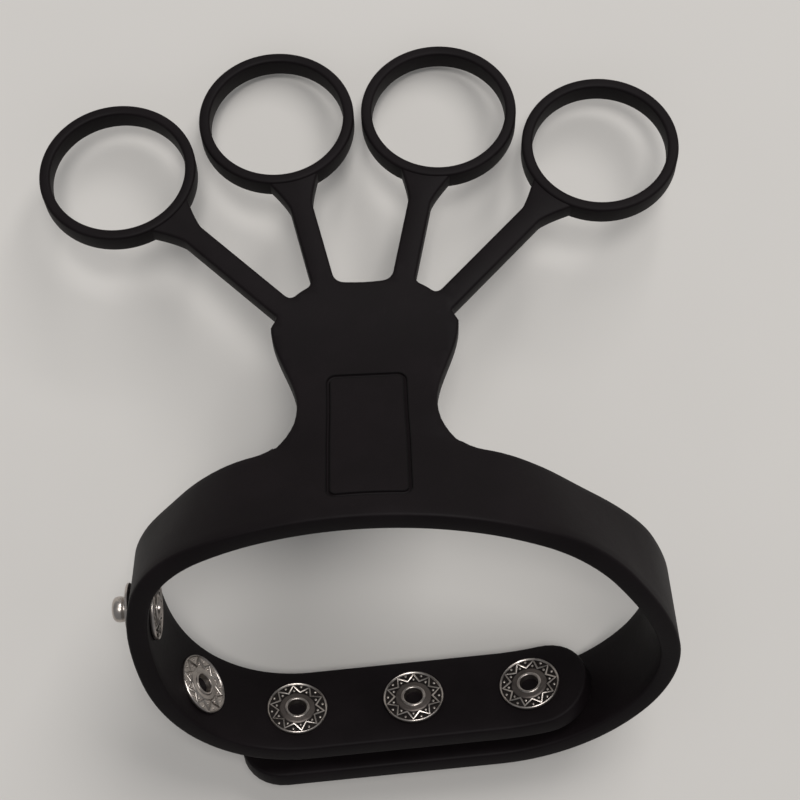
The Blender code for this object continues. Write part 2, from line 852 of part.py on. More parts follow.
def socket_profile():
    """Socket body on the outer strap, open to the stud, with a groove for the ring spring."""
    base = -HALF - SNAP_GAP / 2.0
    mouth = base - SOCKET_HEIGHT
    throat = STUD_BALL_RADIUS + SNAP_GAP
    groove = throat + 2.0 * SPRING_WIRE + SNAP_GAP
    post = BARREL_RADIUS + SNAP_GAP / 2.0
    return [
        (post, base),
        (SOCKET_RADIUS, base),
        (SOCKET_RADIUS, base - SOCKET_LIP),
        (SOCKET_RADIUS - SOCKET_LIP, base - 2.0 * SOCKET_LIP),
        (SOCKET_RADIUS - SOCKET_LIP, mouth + SOCKET_LIP),
        (SOCKET_RADIUS - 2.0 * SOCKET_LIP, mouth),
        (throat + SOCKET_LIP / 2.0, mouth),
        (throat, mouth + SOCKET_LIP / 2.0),
        (throat, mouth + SOCKET_LIP),
        (groove, mouth + SOCKET_LIP),
        (groove, mouth + SOCKET_LIP + 2.0 * SPRING_WIRE + SNAP_GAP),
        (throat, mouth + SOCKET_LIP + 2.0 * SPRING_WIRE + SNAP_GAP),
        (throat, base - SOCKET_LIP),
        (post, base - SOCKET_LIP),
    ]


def cap_profile():
    """Domed cap on the outer face with a hollow post through the strap."""
    face = HALF + SNAP_GAP / 2.0
    tip = -HALF - POST_REACH
    crown = face + CAP_HEIGHT
    return [
        (0.0, crown),
        (FLANGE_RADIUS * 0.45, crown - 0.08 * CAP_HEIGHT),
        (FLANGE_RADIUS * 0.8, crown - 0.32 * CAP_HEIGHT),
        (FLANGE_RADIUS, crown - 0.75 * CAP_HEIGHT),
        (FLANGE_RADIUS - FLANGE_THICK / 2.0, face),
        (BARREL_RADIUS, face),
        (BARREL_RADIUS, tip),
        (BARREL_BORE, tip),
        (BARREL_BORE, face + SNAP_GAP),
        (0.0, face + SNAP_GAP),
    ]


def spring_mesh():
    """Split ring spring that grips under the stud's ball."""
    base = -HALF - SNAP_GAP / 2.0
    level = base - SOCKET_HEIGHT + SOCKET_LIP + SPRING_WIRE + SNAP_GAP / 2.0
    radius = STUD_BALL_RADIUS + SNAP_GAP + SPRING_WIRE + SNAP_GAP / 2.0
    opening = math.radians(24.0)
    count = 22
    sides = 6
    bm = bmesh.new()
    loops = []
    for i in range(count + 1):
        angle = opening / 2.0 + (2.0 * math.pi - opening) * i / count
        loop = []
        for k in range(sides):
            turn = 2.0 * math.pi * k / sides
            reach = radius + SPRING_WIRE * math.cos(turn)
            height = level + SPRING_WIRE * math.sin(turn)
            loop.append(bm.verts.new((reach * math.cos(angle), reach * math.sin(angle), height)))
        loops.append(loop)
    for first, second in zip(loops, loops[1:]):
        for k in range(sides):
            n = (k + 1) % sides
            bm.faces.new([first[k], second[k], second[n], first[n]])
    bm.faces.new(loops[0])
    bm.faces.new(list(reversed(loops[-1])))
    return bm


def build_snaps(root, peel):
    """Studs with their eyelets on the inner strap; sockets, springs and caps on the outer one."""
    for index in range(STUD_COUNT):
        frame = band_frame(-1, stud_distance(index))
        number = index + 1
        eyelet = mesh_object("eyelet_%d" % number, turned(eyelet_profile(), SNAP_SEGMENTS, True), STEEL, root)
        eyelet.matrix_local = frame
        stud = mesh_object("stud_%d" % number, turned(stud_profile(), SNAP_SEGMENTS, False), STEEL, root)
        stud.matrix_local = frame
    back = peel_frame().inverted()
    for index in MATED:
        frame = back @ band_frame(1, socket_distance(index))
        number = index + 1
        socket = mesh_object("socket_%d" % number, turned(socket_profile(), SNAP_SEGMENTS, True), STEEL, peel)
        socket.matrix_local = frame
        spring = mesh_object("spring_%d" % number, spring_mesh(), STEEL, peel)
        spring.matrix_local = frame
        cap = mesh_object("cap_%d" % number, turned(cap_profile(), SNAP_SEGMENTS, False), STEEL, peel)
        cap.matrix_local = frame


def stand(root):
    """Lean the model to its rest on the table and centre it on its footprint."""
    root.matrix_world = Matrix.Rotation(-LEAN, 4, "X")
    bpy.context.view_layer.update()
    graph = bpy.context.evaluated_depsgraph_get()
    low = Vector((1e9, 1e9, 1e9))
    high = -low
    for item in bpy.data.objects:
        if item.type != "MESH" or item.hide_render:
            continue
        shown = item.evaluated_get(graph)
        for vertex in shown.data.vertices:
            point = shown.matrix_world @ vertex.co
            for k in range(3):
                low[k] = min(low[k], point[k])
                high[k] = max(high[k], point[k])
    offset = Vector((-(low.x + high.x) / 2.0, -(low.y + high.y) / 2.0, -low.z))
    root.matrix_world = Matrix.Translation(offset) @ root.matrix_world
    bpy.context.view_layer.update()


def main():
    """Build the finger exerciser."""
    root = make_empty("rest_frame", None, Matrix.Identity(4))
    build_band(root)
    _, peel = build_strap(root)
    pad, axis = build_pad(root)
    build_fingers(pad, axis)
    build_snaps(root, peel)
    stand(root)


clear_scene()
SILICONE = make_material("black_silicone", (0.012, 0.011, 0.012), 0.62, 0.0)
STEEL = make_material("nickel_steel", (0.62, 0.60, 0.57), 0.3, 1.0)
main()
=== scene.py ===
"""Finger exerciser in black silicone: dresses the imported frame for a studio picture."""
import json
import logging
import math
from dataclasses import dataclass, field
from enum import Enum
from typing import Callable, Iterable, Optional, Sequence, Union

import bmesh
import bpy
from mathutils import Matrix, Vector


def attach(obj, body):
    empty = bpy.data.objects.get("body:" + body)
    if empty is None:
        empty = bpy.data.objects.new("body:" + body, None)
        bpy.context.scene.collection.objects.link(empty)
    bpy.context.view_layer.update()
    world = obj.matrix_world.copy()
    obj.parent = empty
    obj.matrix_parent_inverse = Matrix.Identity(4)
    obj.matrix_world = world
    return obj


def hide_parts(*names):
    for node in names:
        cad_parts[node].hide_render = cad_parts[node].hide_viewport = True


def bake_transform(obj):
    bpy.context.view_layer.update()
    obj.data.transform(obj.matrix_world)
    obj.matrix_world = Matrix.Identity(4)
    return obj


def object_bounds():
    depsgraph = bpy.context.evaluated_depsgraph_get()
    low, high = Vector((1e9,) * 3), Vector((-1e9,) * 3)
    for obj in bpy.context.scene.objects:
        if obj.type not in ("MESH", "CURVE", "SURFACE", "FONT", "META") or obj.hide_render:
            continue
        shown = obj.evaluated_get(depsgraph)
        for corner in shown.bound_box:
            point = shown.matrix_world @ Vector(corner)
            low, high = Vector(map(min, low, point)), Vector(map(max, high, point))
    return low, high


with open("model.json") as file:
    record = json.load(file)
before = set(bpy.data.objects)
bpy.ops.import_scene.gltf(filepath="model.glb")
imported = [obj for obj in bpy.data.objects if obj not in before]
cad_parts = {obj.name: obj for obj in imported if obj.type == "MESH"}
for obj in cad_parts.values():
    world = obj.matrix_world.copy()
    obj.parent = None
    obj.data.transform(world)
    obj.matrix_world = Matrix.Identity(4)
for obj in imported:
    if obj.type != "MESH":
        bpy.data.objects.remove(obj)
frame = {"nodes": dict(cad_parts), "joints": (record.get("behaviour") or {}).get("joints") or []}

CAD_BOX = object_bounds()
LOG = logging.getLogger("exerciser")
CUT_SNAP = 1e-6
RIM_SHARES = (0.14, 0.45, 1.0)

Pair = tuple[float, float]
Triple = tuple[float, float, float]
Run = tuple[Optional[float], float]
Number = Union[int, float]
Value = Union["Wire", Number]


class Slot(Enum):
    """Material slots of the record."""

    SILICONE = "silicone"
    METAL = "metal"


class Side(Enum):
    """Side of the crown that a strap runs down on."""

    LEFT = -1
    RIGHT = 1


# ---------------------------------------------------------------- shader maths


class Wire:
    """A socket whose values can be used in Python expressions."""

    def __init__(self, shader: "Shader", socket: bpy.types.NodeSocket) -> None:
        """Keep the socket and the shader that it belongs to."""
        self.shader = shader
        self.socket = socket

    def math(self, operation: str, *others: Value, first: bool = True) -> "Wire":
        """Add a Math node.

        Args:
            operation: Name of the Math node's operation.
            others: The other operands.
            first: False puts this wire after the first of the others.

        Returns:
            The node's result.
        """
        values: list[Value] = [self, *others]
        if not first:
            values[0], values[1] = values[1], values[0]
        inputs = dict(enumerate(values))
        return self.shader.node("ShaderNodeMath", {"operation": operation}, inputs)

    def __add__(self, other: Value) -> "Wire":
        """Sum."""
        return self.math("ADD", other)

    def __radd__(self, other: Value) -> "Wire":
        """Sum, reflected."""
        return self.math("ADD", other)

    def __sub__(self, other: Value) -> "Wire":
        """Difference."""
        return self.math("SUBTRACT", other)

    def __rsub__(self, other: Value) -> "Wire":
        """Difference, reflected."""
        return self.math("SUBTRACT", other, first=False)

    def __mul__(self, other: Value) -> "Wire":
        """Product."""
        return self.math("MULTIPLY", other)

    def __rmul__(self, other: Value) -> "Wire":
        """Product, reflected."""
        return self.math("MULTIPLY", other)

    def __abs__(self) -> "Wire":
        """Size without sign."""
        return self.math("ABSOLUTE")

    def top(self, other: Value) -> "Wire":
        """The larger of the two."""
        return self.math("MAXIMUM", other)

    def low(self, other: Value) -> "Wire":
        """The smaller of the two."""
        return self.math("MINIMUM", other)

    def root(self) -> "Wire":
        """Square root."""
        return self.math("SQRT")

    def step(self, start: float, end: float) -> "Wire":
        """Smooth rise from 0 at start to 1 at end; start may be above end."""
        settings = {"interpolation_type": "SMOOTHSTEP"}
        inputs = {0: self, 1: start, 2: end, 3: 0.0, 4: 1.0}
        if start > end:
            inputs = {0: self, 1: end, 2: start, 3: 1.0, 4: 0.0}
        return self.shader.node("ShaderNodeMapRange", settings, inputs)


class Shader:
    """A procedural material and the nodes in it."""

    def __init__(self, name: str) -> None:
        """Start a material with one Principled surface."""
        self.material = bpy.data.materials.new(name)
        self.material.use_nodes = True
        self.tree = self.material.node_tree
        self.surface = self.tree.nodes["Principled BSDF"]

    def node(
        self,
        kind: str,
        settings: Optional[dict[str, object]] = None,
        inputs: Optional[dict[Union[str, int], object]] = None,
        output: Union[str, int] = 0,
    ) -> Wire:
        """Add a node.

        Args:
            kind: Blender's type name of the node.
            settings: Node properties, set first.
            inputs: Values or wires by socket name or number.
            output: The output socket wanted.

        Returns:
            The output as a wire.
        """
        made = self.tree.nodes.new(kind)
        for key, value in (settings or {}).items():
            setattr(made, key, value)
        for key, value in (inputs or {}).items():
            self.feed(made.inputs[key], value)
        return Wire(self, made.outputs[output])

    def feed(self, socket: bpy.types.NodeSocket, value: object) -> None:
        """Link a wire to a socket, or set a constant on it."""
        if isinstance(value, Wire):
            self.tree.links.new(value.socket, socket)
        elif isinstance(value, tuple) and len(value) == 3 and socket.type == "RGBA":
            socket.default_value = (*value, 1.0)
        else:
            socket.default_value = value

    def place(self) -> Wire:
        """Object coordinates."""
        return self.node("ShaderNodeTexCoord", output="Object")

    def noise(self, scale: float, detail: float, roughness: float) -> Wire:
        """Noise from 0 to 1 on Object coordinates, scale in cells a metre."""
        inputs = {
            "Vector": self.place(),
            "Scale": scale,
            "Detail": detail,
            "Roughness": roughness,
        }
        return self.node("ShaderNodeTexNoise", None, inputs)

    def mix(self, share: Value, dark: object, light: object) -> Wire:
        """Mix two colours by a share from 0 to 1."""
        settings = {"data_type": "RGBA", "clamp_factor": True}
        return self.node("ShaderNodeMix", settings, {0: share, 6: dark, 7: light}, 2)

    def bump(
        self, height: Wire, depth: float, strength: float, under: Optional[Wire] = None
    ) -> Wire:
        """Bump a height from 0 to 1 by a depth in metres, over another bump."""
        inputs: dict[Union[str, int], object] = {
            "Height": height,
            "Distance": depth,
            "Strength": strength,
        }
        if under is not None:
            inputs["Normal"] = under
        return self.node("ShaderNodeBump", None, inputs)

    def finish(self, **sockets: object) -> bpy.types.Material:
        """Feed the Principled sockets, named with underscores, and return the material."""
        for key, value in sockets.items():
            self.feed(self.surface.inputs[key.replace("_", " ")], value)
        return self.material


# -------------------------------------------------------------------- finishes


@dataclass(frozen=True)
class PanelFrame:
    """Moulded outline of the bare panel on the crown, in flat sheet metres."""

    left: float = -0.0054
    right: float = 0.0055
    rear: float = -0.0105
    front: float = 0.0114
    corner: float = 0.0011
    line: float = 0.00030
    sunk: float = 0.00012
    corner_steps: int = 6
    side_steps: int = 12

    def outline(self) -> list[Pair]:
        """Rounded rectangle, anticlockwise from the right side."""
        points: list[Pair] = []
        radius = self.corner
        corners = (
            (self.right - self.corner, self.front - self.corner),
            (self.left + self.corner, self.front - self.corner),
            (self.left + self.corner, self.rear + self.corner),
            (self.right - self.corner, self.rear + self.corner),
        )
        for k, (x, y) in enumerate(corners):
            for step in range(self.corner_steps + 1):
                angle = math.radians(90.0 * k + 90.0 / self.corner_steps * step)
                points.append((x + radius * math.cos(angle), y + radius * math.sin(angle)))
            ahead = corners[(k + 1) % len(corners)]
            turn = math.radians(90.0 * (k + 1))
            for step in range(1, self.side_steps):
                share = step / self.side_steps
                points.append((
                    x + (ahead[0] - x) * share + radius * math.cos(turn),
                    y + (ahead[1] - y) * share + radius * math.sin(turn),
                ))
        return points

    def distance(self, shader: Shader) -> Wire:
        """Signed distance from the outline, in metres, negative inside.

        Args:
            shader: The material that reads the sheet's flat map.

        Returns:
            The distance at each point of the sheet.
        """
        flat = shader.node("ShaderNodeUVMap", {"uv_map": "flat"})
        parts = [shader.node("ShaderNodeSeparateXYZ", None, {0: flat}, k) for k in (0, 1)]
        middle = ((self.left + self.right) / 2.0, (self.rear + self.front) / 2.0)
        half = ((self.right - self.left) / 2.0, (self.front - self.rear) / 2.0)
        over = [abs(p - m) - (h - self.corner) for p, m, h in zip(parts, middle, half)]
        out = [value.top(0.0) for value in over]
        outside = (out[0] * out[0] + out[1] * out[1]).root()
        inside = over[0].top(over[1]).low(0.0)
        return outside + inside - self.corner


@dataclass(frozen=True)
class Silicone:
    """Matt black moulded silicone."""

    name: str = "silicone_black"
    colour: Triple = (0.0042, 0.0028, 0.0033)
    bloom: Triple = (0.0080, 0.0056, 0.0066)
    # Painted shade: near-black colour for the band along the panel's outline groove.
    groove: Triple = (0.0008, 0.0008, 0.0008)
    roughness: float = 0.58
    sheen: float = 0.10
    cloud_scale: float = 95.0
    cloud_depth: float = 0.00025
    grain_scale: float = 2600.0
    grain_depth: float = 0.00004
    speck_scale: float = 900.0
    panel: Optional[PanelFrame] = None

    def build(self) -> bpy.types.Material:
        """Make the material.

        Returns:
            Silicone with mould grain, a faint bloom and, if asked, painted shade along the panel's
            outline.
        """
        shader = Shader(self.name)
        cloud = shader.noise(self.cloud_scale, 3.0, 0.55)
        grain = shader.noise(self.grain_scale, 3.0, 0.65)
        speck = shader.noise(self.speck_scale, 1.0, 0.4).step(0.70, 0.80)
        bloom = cloud.step(0.35, 0.75) * 0.55 + grain * 0.25 + speck * 0.25
        colour = shader.mix(bloom, self.colour, self.bloom)
        rough = self.roughness + (cloud - 0.5) * 0.16 + (grain - 0.5) * 0.10
        normal = shader.bump(cloud, self.cloud_depth, 0.35)
        normal = shader.bump(grain, self.grain_depth, 0.55, normal)
        if self.panel is not None:
            distance = self.panel.distance(shader)
            # Painted shade: darken a band along the panel's outline, over the real groove.
            line = abs(distance).step(self.panel.line * 1.7, self.panel.line * 0.8)
            colour = shader.mix(line * 0.9, colour, self.groove)
        return shader.finish(
            Base_Color=colour, Roughness=rough, Normal=normal, Specular_IOR_Level=self.sheen
        )


@dataclass(frozen=True)
class Nickel:
    """Pressed and plated snap metal."""

    name: str = "nickel_plate"
    colour: Triple = (0.53, 0.485, 0.45)
    dull: Triple = (0.26, 0.23, 0.21)
    roughness: float = 0.20
    cloud_scale: float = 700.0
    marks_scale: float = 5200.0
    marks_depth: float = 0.00002

    def build(self) -> bpy.types.Material:
        """Make the material.

        Returns:
            Plated metal with worn, duller clouds and fine tumbling marks.
        """
        shader = Shader(self.name)
        cloud = shader.noise(self.cloud_scale, 3.0, 0.6)
        marks = shader.noise(self.marks_scale, 2.0, 0.6)
        share = cloud.step(0.45, 0.80) * 0.7 + marks * 0.18
        colour = shader.mix(share, self.colour, self.dull)
        rough = self.roughness + cloud * 0.12 + marks * 0.08
        normal = shader.bump(marks, self.marks_depth, 0.35)
        return shader.finish(Base_Color=colour, Roughness=rough, Normal=normal, Metallic=1.0)


@dataclass(frozen=True)
class Tabletop:
    """Plain pale floor."""

    name: str = "pale_floor"
    colour: Triple = (0.615, 0.595, 0.57)
    paler: float = 1.05
    roughness: float = 0.75
    cloud_scale: float = 22.0

    def build(self) -> bpy.types.Material:
        """Make the material.

        Returns:
            A matt, almost even pale grey.
        """
        shader = Shader(self.name)
        cloud = shader.noise(self.cloud_scale, 3.0, 0.5)
        paler = tuple(c * self.paler for c in self.colour)
        colour = shader.mix(cloud, self.colour, paler)
        return shader.finish(Base_Color=colour, Roughness=self.roughness)


# ------------------------------------------------------------------- workbench


def smooth(share: float) -> float:
    """Smoothstep of a share, held between 0 and 1."""
    share = min(max(share, 0.0), 1.0)
    return share * share * (3.0 - 2.0 * share)


class Bench:
    """Hand operations on one mesh object at a time."""

    @staticmethod
    def clear() -> None:
        """Leave edit mode and select nothing."""
        if bpy.context.object is not None and bpy.context.object.mode != "OBJECT":
            bpy.ops.object.mode_set(mode="OBJECT")
        bpy.ops.object.select_all(action="DESELECT")

    @staticmethod
    def take(piece: bpy.types.Object) -> None:
        """Make a piece the only selected and active object."""
        Bench.clear()
        piece.select_set(True)
        bpy.context.view_layer.objects.active = piece

    @staticmethod
    def edit(piece: bpy.types.Object, kind: str = "VERT") -> None:
        """Open a piece in edit mode with all of it selected."""
        Bench.take(piece)
        bpy.ops.object.mode_set(mode="EDIT")
        bpy.ops.mesh.select_mode(type=kind)
        bpy.ops.mesh.select_all(action="SELECT")

    @staticmethod
    def apply(piece: bpy.types.Object, kind: str, **settings: object) -> None:
        """Add a modifier with its settings and apply it."""
        Bench.take(piece)
        modifier = piece.modifiers.new(kind.lower(), kind)
        for key, value in settings.items():
            setattr(modifier, key, value)
        bpy.ops.object.modifier_apply(modifier=modifier.name)

    @staticmethod
    def outline(name: str, points: Sequence[Pair]) -> bpy.types.Object:
        """Flat face with a given outline.

        Args:
            name: Name of the piece.
            points: Outline in order, anticlockwise.

        Returns:
            A piece of one face in the XY plane.
        """
        return Bench.ring(name, [Vector((x, y, 0.0)) for x, y in points], "NGON")

    @staticmethod
    def ring(name: str, points: Sequence[Vector], fill: str) -> bpy.types.Object:
        """Circle whose corners are moved to given places.

        Args:
            name: Name of the piece.
            points: Where the corners go, in order.
            fill: How Blender fills the circle.

        Returns:
            The closed ring of edges, with its face if it has one.
        """
        Bench.clear()
        bpy.ops.mesh.primitive_circle_add(vertices=len(points), radius=1.0, fill_type=fill)
        piece = bpy.context.object
        piece.name = piece.data.name = name
        corners = piece.data.vertices
        turn = sorted(corners, key=lambda v: math.atan2(v.co.y, v.co.x))
        for vertex, point in zip(turn, points):
            vertex.co = point
        return piece

    @staticmethod
    def rounded_rim(piece: bpy.types.Object, radius: float, thick: float) -> None:
        """Inset the outline in loops that thin towards it, for a rounded edge.

        The vertex group "thickness" holds each loop's share of the thickness.

        Args:
            piece: A flat outline.
            radius: Radius of the edge.
            thick: Full thickness of the sheet.
        """
        group = piece.vertex_groups.new(name="thickness")
        half = thick / 2.0
        everything = range(len(piece.data.vertices))
        group.add(list(everything), (half - radius) / half, "REPLACE")
        Bench.edit(piece, "FACE")
        last = 0.0
        for share in RIM_SHARES:
            depth = radius * share
            bpy.ops.mesh.inset(thickness=depth - last, use_boundary=True, use_even_offset=True)
            last = depth
            bpy.ops.object.mode_set(mode="OBJECT")
            inner = {v for p in piece.data.polygons if p.select for v in p.vertices}
            lift = half - radius + math.sqrt(max(radius**2 - (radius - depth) ** 2, 0.0))
            group.add(list(inner), lift / half, "REPLACE")
            bpy.ops.object.mode_set(mode="EDIT")
        bpy.ops.object.mode_set(mode="OBJECT")

    @staticmethod
    def slice(
        piece: bpy.types.Object, axis: int, places: Iterable[float], keep: Optional[str] = None
    ) -> None:
        """Cut a flat piece with planes across an axis.

        Args:
            piece: The flat piece.
            axis: 0 cuts across X, 1 across Y.
            places: Where the cuts stand.
            keep: "below" or "above" removes the other side of the cut.
        """
        normal = [0.0, 0.0, 0.0]
        normal[axis] = 1.0
        Bench.edit(piece, "FACE")
        for place in places:
            spot = [0.0, 0.0, 0.0]
            spot[axis] = place
            bpy.ops.mesh.select_all(action="SELECT")
            bpy.ops.mesh.bisect(
                plane_co=spot,
                plane_no=normal,
                clear_outer=keep == "below",
                clear_inner=keep == "above",
                threshold=CUT_SNAP,
            )
        bpy.ops.object.mode_set(mode="OBJECT")

    @staticmethod
    def trim(piece: bpy.types.Object, spot: Vector, way: Vector, reach: float) -> None:
        """Cut off the end of a stub.

        Args:
            piece: A flat piece whose stub points along a way.
            spot: Middle of the cut.
            way: Direction of the stub; what lies beyond the cut goes.
            reach: How far from the cut its faces are taken.
        """
        Bench.edit(piece, "FACE")
        mesh = bmesh.from_edit_mesh(piece.data)
        for face in mesh.faces:
            face.select_set((face.calc_center_median().xy - spot).length < reach)
        mesh.select_flush(False)
        bmesh.update_edit_mesh(piece.data)
        bpy.ops.mesh.bisect(
            plane_co=(spot.x, spot.y, 0.0),
            plane_no=(way.x, way.y, 0.0),
            clear_outer=True,
            threshold=CUT_SNAP,
        )
        bpy.ops.object.mode_set(mode="OBJECT")

    @staticmethod
    def keep_flat_map(piece: bpy.types.Object) -> None:
        """Store the flat place of every corner as the piece's own UV map."""
        layer = piece.data.uv_layers.new(name="flat")
        for loop in piece.data.loops:
            layer.data[loop.index].uv = piece.data.vertices[loop.vertex_index].co.xy

    @staticmethod
    def wrap(piece: bpy.types.Object, place: Callable[[Vector], Vector]) -> None:
        """Move every point of a piece to where a function puts it."""
        for vertex in piece.data.vertices:
            vertex.co = place(vertex.co.copy())
        piece.data.update()

    @staticmethod
    def thicken(piece: bpy.types.Object, thick: float) -> None:
        """Give a wrapped sheet its thickness, thinner at the rounded rim."""
        Bench.apply(
            piece,
            "SOLIDIFY",
            thickness=thick,
            offset=0.0,
            use_even_offset=True,
            vertex_group="thickness",
            thickness_vertex_group=0.0,
        )
        piece.vertex_groups.clear()

    @staticmethod
    def turned(name: str, profile: Sequence[Pair], count: int, closed: bool) -> bpy.types.Object:
        """Turn a profile about Z by extruding a circle along it.

        Args:
            name: Name of the piece.
            profile: Points of (radius, height); radius 0 is a pole at an end.
            count: Segments round the axis.
            closed: True bridges the last loop to the first.

        Returns:
            The turned piece.
        """
        points = [p for p in profile if p[0] > 0.0]
        Bench.clear()
        radius, height = points[0]
        bpy.ops.mesh.primitive_circle_add(vertices=count, radius=radius, location=(0.0, 0.0, 0.0))
        piece = bpy.context.object
        piece.name = piece.data.name = name
        Bench.edit(piece, "EDGE")
        bpy.ops.transform.translate(value=(0.0, 0.0, height))
        if profile[0][0] == 0.0:
            Bench.pole(piece, profile[0][1] - height)
        for wide, tall in points[1:]:
            climb = {"value": (0.0, 0.0, tall - height)}
            bpy.ops.mesh.extrude_region_move(TRANSFORM_OT_translate=climb)
            ratio = wide / radius
            bpy.ops.transform.resize(value=(ratio, ratio, 1.0), center_override=(0.0, 0.0, 0.0))
            radius, height = wide, tall
        if profile[-1][0] == 0.0:
            Bench.pole(piece, profile[-1][1] - height)
        if closed:
            mesh = bmesh.from_edit_mesh(piece.data)
            for edge in mesh.edges:
                edge.select_set(edge.is_boundary)
            bmesh.update_edit_mesh(piece.data)
            bpy.ops.mesh.bridge_edge_loops()
        bpy.ops.mesh.select_all(action="SELECT")
        bpy.ops.mesh.remove_doubles(threshold=1e-7)
        bpy.ops.mesh.normals_make_consistent(inside=False)
        bpy.ops.object.mode_set(mode="OBJECT")
        return piece

    @staticmethod
    def pole(piece: bpy.types.Object, rise: float) -> None:
        """Close the selected loop with a fan to a point above it, and select the loop again."""
        mesh = bmesh.from_edit_mesh(piece.data)
        loop = [v.index for v in mesh.verts if v.select]
        bpy.ops.mesh.extrude_region_move(TRANSFORM_OT_translate={"value": (0.0, 0.0, rise)})
        bpy.ops.mesh.merge(type="CENTER")
        mesh = bmesh.from_edit_mesh(piece.data)
        mesh.verts.ensure_lookup_table()
        bpy.ops.mesh.select_all(action="DESELECT")
        for index in loop:
            mesh.verts[index].select_set(True)
        mesh.select_flush(True)
        for face in mesh.faces:
            face.select_set(False)
        wanted = set(loop)
        for edge in mesh.edges:
            edge.select_set(all(v.index in wanted for v in edge.verts))
        bmesh.update_edit_mesh(piece.data)

    @staticmethod
    def tube(name: str, points: Sequence[Vector], radius: float) -> bpy.types.Object:
        """Round closed tube through points.

        Args:
            name: Name of the piece.
            points: The loop's points in order.
            radius: Radius of the tube.

        Returns:
            The tube as a mesh.
        """
        Bench.ring(name, points, "NOTHING")
        bpy.ops.object.convert(target="CURVE")
        piece = bpy.context.object
        piece.data.bevel_depth = radius
        piece.data.bevel_resolution = 2
        bpy.ops.object.convert(target="MESH")
        return bpy.context.object

    @staticmethod
    def join(pieces: Sequence[bpy.types.Object]) -> bpy.types.Object:
        """Join pieces into the first one."""
        Bench.take(pieces[0])
        for piece in pieces:
            piece.select_set(True)
        bpy.ops.object.join()
        return bpy.context.object

    @staticmethod
    def copy(piece: bpy.types.Object, name: str) -> bpy.types.Object:
        """Copy a piece with a mesh of its own."""
        double = piece.copy()
        double.data = piece.data.copy()
        double.name = double.data.name = name
        bpy.context.scene.collection.objects.link(double)
        return double

    @staticmethod
    def soften(piece: bpy.types.Object, angle: float) -> None:
        """Shade a piece smooth up to an angle in degrees."""
        Bench.take(piece)
        bpy.ops.object.shade_smooth_by_angle(angle=math.radians(angle))

    @staticmethod
    def dress(piece: bpy.types.Object, finish: bpy.types.Material, slot: Slot) -> None:
        """Give a piece one finish."""
        piece.data.materials.clear()
        piece.data.materials.append(finish)


# ------------------------------------------------------------------ sheet form


